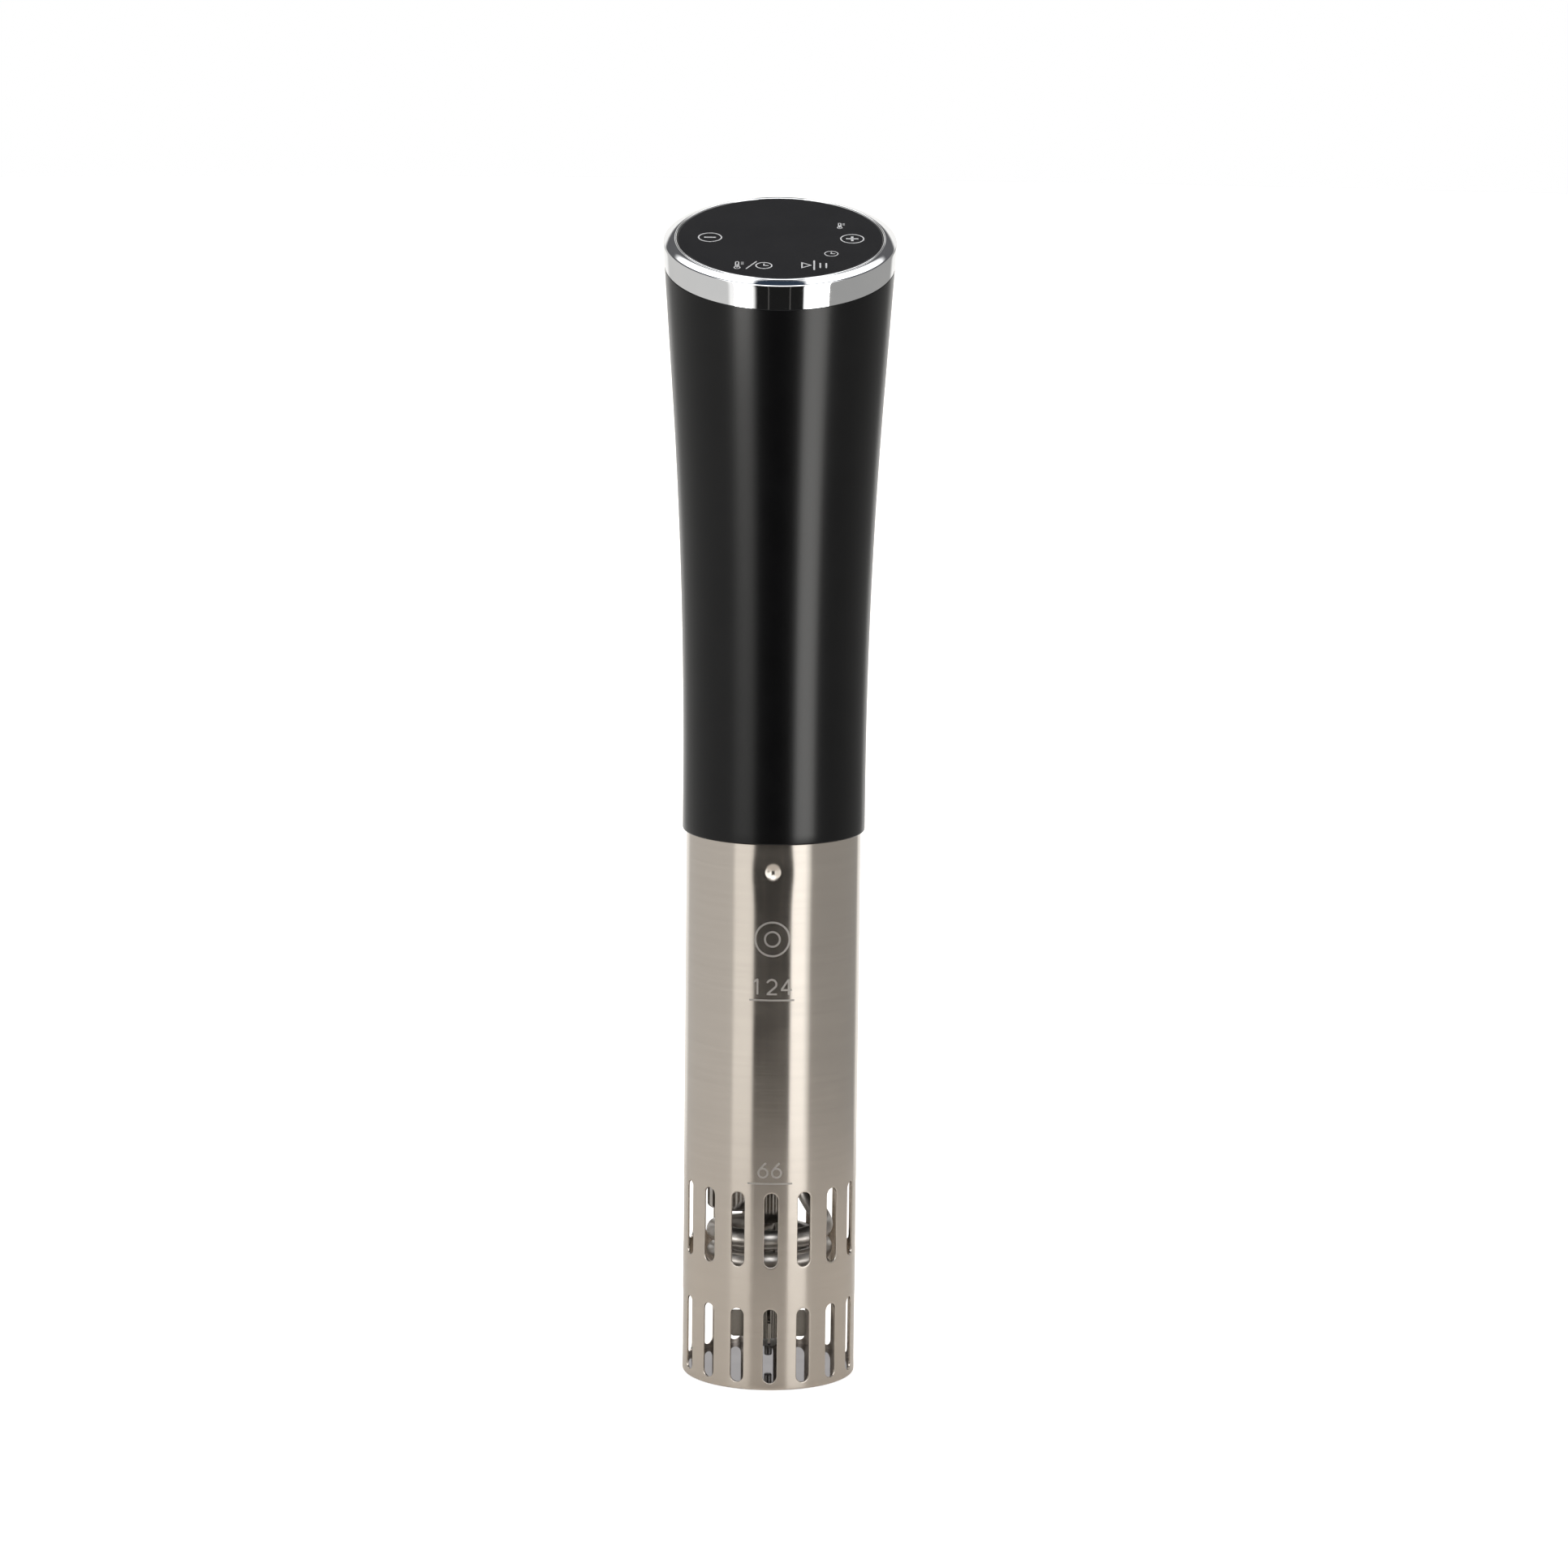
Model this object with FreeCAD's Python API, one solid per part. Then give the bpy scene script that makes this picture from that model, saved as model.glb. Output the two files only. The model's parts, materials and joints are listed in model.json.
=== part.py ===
"""Sous vide circulator: a slotted steel skirt under a flared black handle with a slanted glass head.

Millimetres. The origin is the centre of the skirt's flat bottom, +Z is up and -Y is the front.
"""
import FreeCAD, Part
import math
import os

from FreeCAD import Vector

ORIGIN = Vector(0, 0, 0)
UP = Vector(0, 0, 1)
BACKWARD = Vector(0, 1, 0)
FAR = 60.0                      # half size of a block that covers the whole section
FIT = 0.05                      # radial clearance of a running fit
AIR = 0.4                       # gap between neighbours that move past each other

# Skirt
SKIRT_R = 27.0
SKIRT_WALL = 0.6
SKIRT_TOP = 184.0
SKIRT_EDGE = 0.45               # rounding of the bottom edge
CAP_THICK = 1.0
SLOT_COUNT = 16
SLOT_TURN = 1.2                 # degrees that the slots are turned from the front
SLOT_WIDTH = 4.35
SLOT_LENGTH = 23.65
SLOT_BEVEL = 0.23
SLOT_ROWS = (14.05, 51.15)      # heights of the slots' centres
DIMPLE_Z = 164.2
DIMPLE_R = 2.95
DIMPLE_DEPTH = 1.2
DIMPLE_ANGLES = (-90, 30, 150)
TWIST = 20.0                    # degrees from locked to released

# Handle and head
BODY_R = 28.25
BODY_LOW = 172.9
BODY_WALL = 2.2
FLARE_START = 187.0
FLARE_TOP = 309.0
FLARE_RADIUS = 1750.0
RECESS_TOP = 186.5              # the skirt's top edge turns inside this recess
SLANT = 16.0                    # degrees, front edge lower
SEAM_Z = 348.0                  # heights on the axis of the head's slanted planes
RIM_Z = 355.2
GLASS_Z = 356.4
GLASS_R = 31.5
GLASS_THICK = 2.0
BOARD_DROP = 4.2                # touch board's top below the glass, square to it
POST_ANGLES = (90, 215, 325)
POST_AT = 27.4                  # distance from the axis, seen from above
POST_R = 3.2
POST_DEPTH = 6.6                # middle of a post below the glass, square to it

# Floor cup
FLOOR_R = 26.0
FLOOR_LOW = 150.0
FLOOR_PLATE = 154.0
FLOOR_TOP = 206.0
FLOOR_BORE = 23.5
SEAL_Z = 190.0
SEAL_R = 1.0

# Wet end
COLUMN_R = 5.0
COLUMN_BORE = 3.2
COLUMN_LOW = 48.0
SHAFT_R = 2.0
SHAFT_TIP_R = 1.25
SHAFT_LOW = 4.05
COIL_R = 17.0
COIL_TUBE_R = 3.0
COIL_TOP = 46.4
COIL_PITCH = 7.1
COIL_EASE = 0.135               # how much of the pitch is taken at the back of each turn
COIL_STEPS = 12                 # corners per turn
LEG_A = (9.2, 14.3)
LEG_B = (3.0, 9.8)
LEG_TOP = 162.0
SENSOR_AT = (-10.6, 10.0)
SENSOR_R = 9.0
SENSOR_LOW = 50.0
HUB_R = 3.6
BLADE_R = 12.0
BLADE_LOW = 10.2
BLADE_TOP = 18.6
BLADE_THICK = 0.8

# Motor
DECK_TOP = 209.0                # top of the chassis disc that carries the motor
MOTOR_R = 14.0
MOTOR_TOP = 245.0
AXLE_R = 1.5

# Pot clamp
CLAMP_HALF = 11.0
CLAMP_LEG = (51.0, 57.0)        # front and back of the hanging leg
CLAMP_ARM = (192.0, 200.0)
CLAMP_FOOT = 148.0
SCREW_Z = 158.0
SCREW_R = 4.0
PAD_FACE = 46.5
KNOB_FRONT = 78.0               # leaves the pad 14 mm of travel before the knob meets the nut
CLAMP_BOLTS = ((-7.0, 204.0), (7.0, 204.0), (-7.0, 216.0), (7.0, 216.0))

# Cord gland, and the chassis disc's holes for the leads
GLAND_Z = 322.0
GLAND_BORE = 3.6
WIRE_HOLES = ((17.5, 12.0), (12.5, 17.5), (-15.0, 15.0))


def cylinder(radius, low, high, x=0.0, y=0.0):
    """Upright cylinder between two heights."""
    return Part.makeCylinder(radius, high - low, Vector(x, y, low))


def sleeve(outer, inner, low, high, x=0.0, y=0.0):
    """Upright tube between two heights."""
    return cylinder(outer, low, high, x, y).cut(cylinder(inner, low, high, x, y))


def rod(radius, front, back, x, z):
    """Cylinder that runs from front to back."""
    return Part.makeCylinder(radius, back - front, Vector(x, front, z), BACKWARD)


def block(x, y, z):
    """Box from its (low, high) pairs."""
    return Part.makeBox(x[1] - x[0], y[1] - y[0], z[1] - z[0], Vector(x[0], y[0], z[0]))


def soften(shape, radius, direction):
    """Round the straight edges of a block that run along one direction."""
    edges = []
    for edge in shape.Edges:
        run = edge.Vertexes[-1].Point - edge.Vertexes[0].Point
        if run.Length > 0 and abs(run.dot(direction)) > 0.999 * run.Length:
            edges.append(edge)
    return shape.makeFillet(radius, edges)


def around(angle, radius):
    """Plan position at an angle from +X."""
    turn = math.radians(angle)
    return radius * math.cos(turn), radius * math.sin(turn)


def spun(shape, angle):
    """Copy of a shape turned about the main axis."""
    copy = shape.copy()
    copy.rotate(ORIGIN, UP, angle)
    return copy


def group(shapes):
    """Separate solids kept in one node."""
    return Part.makeCompound(shapes)


def outline(start, *steps):
    """Closed wire of (radius, height) points; a step of four numbers is an arc via its first two."""
    edges = []
    here = Vector(start[0], 0, start[1])
    for step in steps + (start,):
        there = Vector(step[-2], 0, step[-1])
        if len(step) == 4:
            edges.append(Part.Arc(here, Vector(step[0], 0, step[1]), there).toShape())
        elif (there - here).Length > 1e-6:
            edges.append(Part.LineSegment(here, there).toShape())
        here = there
    return Part.Wire(edges)


def turned(start, *steps):
    """Solid of revolution of an outline."""
    return Part.Face(outline(start, *steps)).revolve(ORIGIN, UP, 360)


def sector(inner, outer, low, high, first, last):
    """Part of an upright tube between two angles."""
    face = Part.Face(outline((inner, low), (outer, low), (outer, high), (inner, high)))
    face.rotate(ORIGIN, UP, first)
    return face.revolve(ORIGIN, UP, last - first)


def flared(inset, low, high):
    """Solid inside the handle's outline: straight, then a wide arc, then a straight flare."""
    sweep = FLARE_RADIUS + inset
    angle = math.asin((FLARE_TOP - FLARE_START) / FLARE_RADIUS)
    centre = BODY_R + FLARE_RADIUS
    middle = (centre - sweep * math.cos(angle / 2), FLARE_START + sweep * math.sin(angle / 2))
    end = (centre - sweep * math.cos(angle), FLARE_START + sweep * math.sin(angle))
    tip = (end[0] + (high - end[1]) * math.tan(angle), high)
    base = BODY_R - inset
    return turned((0, low), (base, low), (base, FLARE_START), middle + end, tip, (0, high))


def slanted(shape, height):
    """Tilt a shape built about the origin onto the head's slant, at a height on the axis."""
    tilted = shape.copy()
    tilted.rotate(ORIGIN, Vector(1, 0, 0), SLANT)
    tilted.translate(Vector(0, 0, height))
    return tilted


def above(height):
    """Everything above the slanted plane that crosses the axis at a height."""
    return slanted(block((-FAR, FAR), (-FAR, FAR), (0, 2 * FAR)), height)


def sheared(shape, height):
    """Shear a round shape so that its level faces follow the head's slant."""
    matrix = FreeCAD.Matrix()
    matrix.A32 = math.tan(math.radians(SLANT))
    result = shape.transformGeometry(matrix)
    result.translate(Vector(0, 0, height))
    return result


def bent_rod(points, radius):
    """Round bar along straight runs joined by tangent arcs."""
    corners = [Vector(*point) for point in points]
    edges = []
    here = corners[0]
    for before, corner, after in zip(corners, corners[1:], corners[2:]):
        back = before - corner
        ahead = after - corner
        reach = 0.45 * min(back.Length, ahead.Length)
        back.normalize()
        ahead.normalize()
        half_turn = (math.pi - back.getAngle(ahead)) / 2
        bend = reach / math.tan(half_turn)
        inward = back + ahead
        inward.normalize()
        start = corner + back * reach
        middle = corner + inward * (bend / math.cos(half_turn) - bend)
        end = corner + ahead * reach
        edges.append(Part.LineSegment(here, start).toShape())
        edges.append(Part.Arc(start, middle, end).toShape())
        here = end
    edges.append(Part.LineSegment(here, corners[-1]).toShape())
    disc = Part.Wire([Part.makeCircle(radius, corners[0], corners[1] - corners[0])])
    return Part.Wire(edges).makePipeShell([disc], True, False)


# --- Skirt -------------------------------------------------------------------------------------

def slot_wire(grow, reach, height):
    """Outline of a round-ended slot that faces +X, at a distance from the axis."""
    half = SLOT_WIDTH / 2 + grow
    centre = SLOT_LENGTH / 2 - SLOT_WIDTH / 2
    top = Vector(reach, 0, height + centre)
    low = Vector(reach, 0, height - centre)
    side = Vector(0, half, 0)
    edges = [Part.LineSegment(low + side, top + side).toShape(),
             Part.Arc(top + side, top + Vector(0, 0, half), top - side).toShape(),
             Part.LineSegment(top - side, low - side).toShape(),
             Part.Arc(low - side, low - Vector(0, 0, half), low + side).toShape()]
    return Part.Wire(edges)


def slot_cutter(height):
    """One slot through the wall, with a bevelled outer edge."""
    bevel_start = SKIRT_R - SLOT_BEVEL - 0.1
    bevel_end = SKIRT_R + SLOT_BEVEL
    grow = bevel_end - bevel_start
    through = Part.Face(slot_wire(0, SKIRT_R - 4, height)).extrude(Vector(5, 0, 0))
    bevel = Part.makeLoft([slot_wire(0, bevel_start, height), slot_wire(grow, bevel_end, height)],
                          True, True)
    return through.fuse(bevel)


def dimple(inner, outer):
    """A pressed dimple's metal and its hollow, which point inwards from -Y, 30 and 150 degrees."""
    ball_r = (DIMPLE_R ** 2 + DIMPLE_DEPTH ** 2) / (2 * DIMPLE_DEPTH)
    metal = []
    hollow = []
    for angle in DIMPLE_ANGLES:
        x, y = around(angle, SKIRT_R - DIMPLE_DEPTH + ball_r)
        centre = Vector(x, y, DIMPLE_Z)
        bump = Part.makeSphere(ball_r + SKIRT_WALL, centre)
        metal.append(bump.common(cylinder((inner + outer) / 2, DIMPLE_Z - 9, DIMPLE_Z + 9)))
        hollow.append(Part.makeSphere(ball_r, centre))
    return metal, hollow


def make_skirt():
    """Slotted outer tube that twists off, and its polished bottom plate."""
    inner = SKIRT_R - SKIRT_WALL
    edge = SKIRT_EDGE * (1 - math.sqrt(0.5))
    tube = turned((inner, 0), (SKIRT_R - SKIRT_EDGE, 0), (SKIRT_R - edge, edge, SKIRT_R, SKIRT_EDGE),
                  (SKIRT_R, SKIRT_TOP), (inner, SKIRT_TOP))
    metal, hollow = dimple(inner, SKIRT_R)
    cutters = list(hollow)
    for height in SLOT_ROWS:
        for index in range(SLOT_COUNT):
            cutters.append(spun(slot_cutter(height), SLOT_TURN - 90 + index * 360 / SLOT_COUNT))
    tube = tube.fuse(metal).cut(cutters)
    return {"skirt_tube": tube, "skirt_base_plate": cylinder(inner, 0, CAP_THICK)}


# --- Handle and head -----------------------------------------------------------------------------

def post_places():
    """Places of the three panel posts in the slanted plane, so that they meet the round ring."""
    slope = math.radians(SLANT)
    places = []
    for angle in POST_ANGLES:
        x, y = around(angle, POST_AT)
        places.append((x, (y - POST_DEPTH * math.sin(slope)) / math.cos(slope)))
    return places


def chrome_ring():
    """Band and crowned bevel round the glass, with a seat, a spigot and three screw posts."""
    seam = SEAM_Z - RIM_Z
    glass = GLASS_Z - RIM_Z
    seat = glass - GLASS_THICK - 0.3
    wall = GLASS_R + 0.1
    blank = turned((38.0, seam), (38.0, -1.2), (35.7, 0.0), (33.95, 0.86, 32.25, glass - 0.05),
                   (32.2, glass + 0.1), (31.95, glass + 0.22, 31.7, glass + 0.1), (wall, glass),
                   (wall, seat), (29.6, seat), (29.6, seat - 2.0), (30.4, seat - 2.0),
                   (30.4, seam - 3.3), (31.7, seam - 3.3), (31.7, seam))
    band = flared(0, FLARE_START - 5, 380).common(sheared(blank, RIM_Z))
    posts = []
    for x, y in post_places():
        post = cylinder(POST_R, -9.0, -BOARD_DROP, x, y).cut(cylinder(0.9, -9.0, -5.0, x, y))
        posts.append(slanted(post, GLASS_Z))
    return band.fuse(posts)


def handle_shell(rear_holes):
    """Moulded handle: a flared tube cut off on the slant, with a recess for the skirt's top."""
    outer = flared(0, BODY_LOW, 380)
    rim = [edge for edge in outer.Edges if abs(edge.CenterOfMass.z - BODY_LOW) < 1e-3
           and abs(edge.Length - 2 * math.pi * BODY_R) < 1e-2]
    outer = outer.makeFillet(0.6, rim)
    recess = cylinder(SKIRT_R + AIR, BODY_LOW - 1, RECESS_TOP)
    core = flared(BODY_WALL, FLARE_START - 1, 381).fuse(recess)
    return outer.cut([core, above(SEAM_Z)] + rear_holes)


def make_head():
    """Chrome ring, glass and the touch panel under it."""
    parts = {"chrome_ring": chrome_ring()}
    disc = cylinder(GLASS_R, 280, 400)
    glass = disc.common(above(GLASS_Z - GLASS_THICK)).cut(above(GLASS_Z))
    parts["glass_panel"] = glass
    tape = sleeve(GLASS_R, 29.8, 280, 400).common(above(GLASS_Z - GLASS_THICK - 0.3))
    parts["glass_tape"] = tape.cut(above(GLASS_Z - GLASS_THICK))
    board = cylinder(28.4, -BOARD_DROP - 1.6, -BOARD_DROP)
    tray = sleeve(28.2, 26.8, -9.6, -5.8).fuse(sleeve(28.2, 8.0, -9.6, -8.2))
    notches = [cylinder(POST_R + 0.3, -12, 0, x, y) for x, y in post_places()]
    parts["touch_board"] = slanted(board.cut(notches), GLASS_Z)
    tray = tray.cut(notches)
    screws = []
    for x, y in post_places():
        inner_x, inner_y = x * 0.9, y * 0.9
        lug = cylinder(2.4, -10.2, -9.0, x, y).fuse(cylinder(2.4, -10.2, -9.0, inner_x, inner_y))
        tray = tray.fuse(lug).cut(cylinder(0.9, -11, -8, x, y))
        screws.append(slanted(cylinder(0.9, -10.2, -6.0, x, y).fuse(
            cylinder(1.7, -11.4, -10.2, x, y)), GLASS_Z))
    parts["panel_tray"] = slanted(tray, GLASS_Z).common(cylinder(30.3, 300, 400))
    parts["panel_screws"] = group(screws)
    parts["display_module"] = slanted(block((-15, 15), (2, 14), (-BOARD_DROP, -2.3)), GLASS_Z)
    keys = [(-21.4, 0.0), (22.0, 0.0), (-12.3, -21.5), (-4.8, -22.4), (8.0, -21.8)]
    glass_back = -GLASS_THICK * math.cos(math.radians(SLANT))
    springs = [slanted(sleeve(2.5, 1.7, -BOARD_DROP, glass_back, x, y), GLASS_Z) for x, y in keys]
    parts["touch_springs"] = group(springs)
    parts["beeper"] = slanted(cylinder(5.5, -8.1, -5.8, -9, 12), GLASS_Z)
    return parts


# --- Floor cup and wet end -----------------------------------------------------------------------

def floor_cup():
    """Sealed floor of the handle: a cup whose outside holds the skirt's bayonet grooves."""
    groove_in = FLOOR_R - SEAL_R * 2
    cup = turned((0, FLOOR_LOW), (FLOOR_R, FLOOR_LOW), (FLOOR_R, SEAL_Z - SEAL_R),
                 (groove_in, SEAL_Z - SEAL_R), (groove_in, SEAL_Z + SEAL_R),
                 (FLOOR_R, SEAL_Z + SEAL_R), (FLOOR_R, FLOOR_TOP), (FLOOR_BORE, FLOOR_TOP),
                 (FLOOR_BORE, FLOOR_PLATE), (0, FLOOR_PLATE))
    reach = 7.0
    cutters = []
    for angle in DIMPLE_ANGLES:
        released = angle + TWIST
        cutters.append(sector(24.7, 27, DIMPLE_Z - 3.1, DIMPLE_Z + 3.1, angle - reach,
                              released + reach))
        cutters.append(sector(24.7, 27, FLOOR_LOW - 1, DIMPLE_Z, released - reach, released + reach))
    cutters.append(cylinder(COLUMN_R, FLOOR_LOW - 1, FLOOR_PLATE + 1))
    cutters.append(cylinder(COIL_TUBE_R, FLOOR_LOW - 1, FLOOR_PLATE + 1, *LEG_A))
    cutters.append(cylinder(COIL_TUBE_R, FLOOR_LOW - 1, FLOOR_PLATE + 1, *LEG_B))
    cutters.append(cylinder(SENSOR_R - 0.6, FLOOR_LOW - 1, FLOOR_PLATE + 1, *SENSOR_AT))
    for angle in (60, 180, 300):
        x, y = around(angle, 24.7)
        cutters.append(cylinder(0.8, FLOOR_TOP - 8, FLOOR_TOP + 1, x, y))
    return cup.cut(cutters)


def coil_points():
    """Corners of the heater's path: leg, steep lead-in, level turns that step down at the back, leg."""
    points = [(LEG_A[0], LEG_A[1], LEG_TOP), (LEG_A[0], LEG_A[1], 58.0)]
    for angle, height in ((42, 51.6), (21, 48.0)):
        points.append(around(angle, COIL_R) + (height,))
    corner_r = COIL_R / math.cos(math.pi / COIL_STEPS) * 0.985
    last = int(2.6 * COIL_STEPS)
    for step in range(last):
        turn = step / COIL_STEPS
        drop = turn + COIL_EASE * (math.cos(2 * math.pi * turn) - 1)
        points.append(around(-360 * turn, corner_r) + (COIL_TOP - COIL_PITCH * drop,))
    points.append((-2.2, 14.2, 27.6))
    points.append((LEG_B[0], LEG_B[1], 31.5))
    points.append((LEG_B[0], LEG_B[1], LEG_TOP))
    return points


def hexagon(across_flats, low, high, x=0.0, y=0.0):
    """Upright hexagonal prism."""
    corner_r = across_flats / math.sqrt(3)
    corners = []
    for index in range(7):
        dx, dy = around(index * 60, corner_r)
        corners.append(Vector(x + dx, y + dy, low))
    return Part.Face(Part.makePolygon(corners)).extrude(Vector(0, 0, high - low))


def make_wet_end():
    """Everything that hangs in the water inside the skirt, and the floor that it hangs from."""
    parts = {"floor_cup": floor_cup()}
    seal_centre = FLOOR_R - SEAL_R + FIT
    parts["floor_seal"] = Part.makeTorus(seal_centre, SEAL_R, Vector(0, 0, SEAL_Z))
    column = sleeve(COLUMN_R, COLUMN_BORE, COLUMN_LOW, FLOOR_PLATE)
    parts["shaft_column"] = column.fuse(sleeve(5.8, COLUMN_BORE, FLOOR_PLATE, FLOOR_PLATE + 2))
    low_bush = sleeve(COLUMN_BORE, SHAFT_R + FIT, COLUMN_LOW + 3, COLUMN_LOW + 12)
    top_bush = sleeve(COLUMN_BORE, SHAFT_R + FIT, 144, FLOOR_PLATE + 2)
    parts["shaft_bushes"] = group([low_bush, top_bush])
    parts["shaft_seal"] = sleeve(COLUMN_BORE, SHAFT_R + FIT, COLUMN_LOW, COLUMN_LOW + 3)
    parts["heater_coil"] = bent_rod(coil_points(), COIL_TUBE_R)
    nuts = []
    washers = []
    for leg in (LEG_A, LEG_B):
        hole = cylinder(COIL_TUBE_R, FLOOR_LOW - 3, LEG_TOP, *leg)
        nuts.append(hexagon(7.4, FLOOR_PLATE, FLOOR_PLATE + 3.5, *leg).cut(hole))
        washers.append(cylinder(3.7, FLOOR_LOW - 1.6, FLOOR_LOW, *leg).cut(hole))
    parts["heater_nuts"] = group(nuts)
    parts["heater_gaskets"] = group(washers)
    x, y = SENSOR_AT
    cup = cylinder(SENSOR_R, SENSOR_LOW, FLOOR_LOW, x, y)
    bottom = [edge for edge in cup.Edges if abs(edge.CenterOfMass.z - SENSOR_LOW) < 1e-3]
    cup = cup.makeFillet(0.8, bottom)
    parts["sensor_tube"] = cup.cut(cylinder(SENSOR_R - 0.6, SENSOR_LOW + 0.6, FLOOR_LOW, x, y))
    parts["thermistor"] = cylinder(2.0, SENSOR_LOW + 0.6, SENSOR_LOW + 8, x - 3, y)
    parts["thermal_cutout"] = cylinder(6.5, 62, 68, x, y).fuse(cylinder(8.4, 66.5, 68, x, y))
    parts["level_strip"] = block((x - 5, x + 5), (y - 0.8, y + 0.8), (70, 146))
    return parts


def impeller():
    """Four upright paddles with rounded corners on a round hub."""
    hub = cylinder(HUB_R, BLADE_LOW, BLADE_TOP + 0.8)
    for index in range(4):
        paddle = block((HUB_R - 1, BLADE_R), (-BLADE_THICK / 2, BLADE_THICK / 2),
                       (BLADE_LOW, BLADE_TOP))
        corners = [edge for edge in paddle.Edges if abs(edge.CenterOfMass.x - BLADE_R) < 1e-3
                   and abs(edge.CenterOfMass.y) < 1e-3]
        hub = hub.fuse(spun(paddle.makeFillet(1.3, corners), index * 90 + SLOT_TURN))
    return hub.cut(cylinder(SHAFT_TIP_R, BLADE_LOW - 1, BLADE_TOP + 2))


def make_drive():
    """Everything that spins: rotor, motor axle, coupling, long shaft and impeller."""
    parts = {}
    step = BLADE_TOP + 0.8
    tip = turned((0, SHAFT_LOW), (0.75, SHAFT_LOW), (1.1, 4.2, SHAFT_TIP_R, SHAFT_LOW + 0.5),
                 (SHAFT_TIP_R, step), (SHAFT_R, step), (SHAFT_R, 196), (0, 196))
    parts["drive_shaft"] = tip
    parts["impeller"] = impeller()
    nut = hexagon(5.5, BLADE_LOW - 2.6, BLADE_LOW).fuse(cylinder(3.6, BLADE_LOW - 0.6, BLADE_LOW))
    parts["impeller_nut"] = nut.cut(cylinder(SHAFT_TIP_R, 5, BLADE_LOW + 1))
    coupling = cylinder(5.0, 188, 204)
    coupling = coupling.cut([cylinder(SHAFT_R, 187, 196), cylinder(AXLE_R, 196, 205)])
    screws = []
    for height, bore in ((192, SHAFT_R), (200, AXLE_R)):
        sideways = Vector(1, 0, 0)
        screws.append(Part.makeCylinder(1.25, 4.2 - bore, Vector(bore, 0, height), sideways))
        coupling = coupling.cut(Part.makeCylinder(1.25, 6, Vector(0, 0, height), sideways))
    parts["shaft_coupling"] = coupling
    parts["coupling_screws"] = group(screws)
    parts["motor_axle"] = cylinder(AXLE_R, 196, MOTOR_TOP + 1.5)
    rotor = cylinder(9.6, 217, 237).cut(cylinder(AXLE_R, 216, 238))
    for index in range(5):
        slot = block((6.0, 11), (-0.7, 0.7), (216, 238)).fuse(cylinder(1.6, 216, 238, 6.2, 0))
        rotor = rotor.cut(spun(slot, index * 72))
    parts["motor_rotor"] = rotor
    return parts


def make_motor():
    """The motor's still parts, on the chassis disc."""
    parts = {}
    floor = DECK_TOP + 2
    can = cylinder(MOTOR_R, floor, MOTOR_TOP).cut(cylinder(MOTOR_R - 1, floor, MOTOR_TOP - 2))
    parts["motor_can"] = can.cut(cylinder(4.0, floor, MOTOR_TOP + 1))
    cap = cylinder(MOTOR_R, DECK_TOP, floor).fuse(cylinder(MOTOR_R - 1, floor, floor + 1.5))
    parts["motor_end_cap"] = cap.cut(cylinder(4.0, DECK_TOP - 1, floor + 3))
    low = sleeve(4.0, AXLE_R + FIT, DECK_TOP, floor + 2.5)
    top = sleeve(4.0, AXLE_R + FIT, MOTOR_TOP - 4, MOTOR_TOP)
    parts["motor_bearings"] = group([low, top])
    arcs = [sector(10.4, MOTOR_R - 1, 216, 238, first, first + 140) for first in (20, 200)]
    parts["motor_magnets"] = group(arcs)
    screws = []
    for angle in (45, 225):
        x, y = around(angle, 9.0)
        screws.append(cylinder(1.0, 206, floor, x, y).fuse(cylinder(1.9, 204.6, 206, x, y)))
        parts["motor_end_cap"] = parts["motor_end_cap"].cut(cylinder(1.0, 206, floor, x, y))
    parts["motor_screws"] = group(screws)
    return parts


# --- Chassis and electronics -----------------------------------------------------------------------

def make_chassis():
    """Inner frame that stands on the floor cup and carries the motor and the power board."""
    frame = cylinder(25.6, FLOOR_TOP, DECK_TOP).cut(cylinder(5.6, FLOOR_TOP - 1, DECK_TOP + 1))
    for side in (-1, 1):
        rib_x = sorted((side * 19.5, side * 22.3))
        frame = frame.fuse(block(rib_x, (-3, 5), (DECK_TOP, 328)))
    frame = frame.fuse(block((-19.5, 19.5), (-3, 5), (325, 328)))
    tab = block((-10, 10), (19.5, 23.5), (DECK_TOP, 222))
    frame = frame.fuse(tab)
    cutters = [cylinder(2.2, FLOOR_TOP - 1, DECK_TOP + 1, x, y) for x, y in WIRE_HOLES]
    deck_screws = []
    for angle in (60, 180, 300):
        x, y = around(angle, 24.7)
        cutters.append(cylinder(0.8, FLOOR_TOP - 1, DECK_TOP + 1, x, y))
        head = cylinder(1.5, DECK_TOP, DECK_TOP + 1.2, x, y).common(cylinder(25.9, 200, 220))
        deck_screws.append(cylinder(0.8, FLOOR_TOP - 7, DECK_TOP, x, y).fuse(head))
    for angle in (45, 225):
        x, y = around(angle, 9.0)
        cutters.append(cylinder(1.0, FLOOR_TOP - 1, DECK_TOP + 1, x, y))
    board_screws = []
    for x in (-20.9, 20.9):
        for z in (256, 321):
            cutters.append(rod(0.9, 0, 5, x, z))
            board_screws.append(rod(0.9, 0, 6.6, x, z).fuse(rod(1.6, 6.6, 7.8, x, z)))
    parts = {"chassis": frame.cut(cutters), "deck_screws": group(deck_screws)}
    parts["board_screws"] = group(board_screws)
    board = block((-22, 22), (5, 6.6), (250, 327))
    holes = [rod(0.9, 4, 7, x, z) for x in (-20.9, 20.9) for z in (256, 321)]
    parts["power_board"] = board.cut(holes)
    return parts


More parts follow.
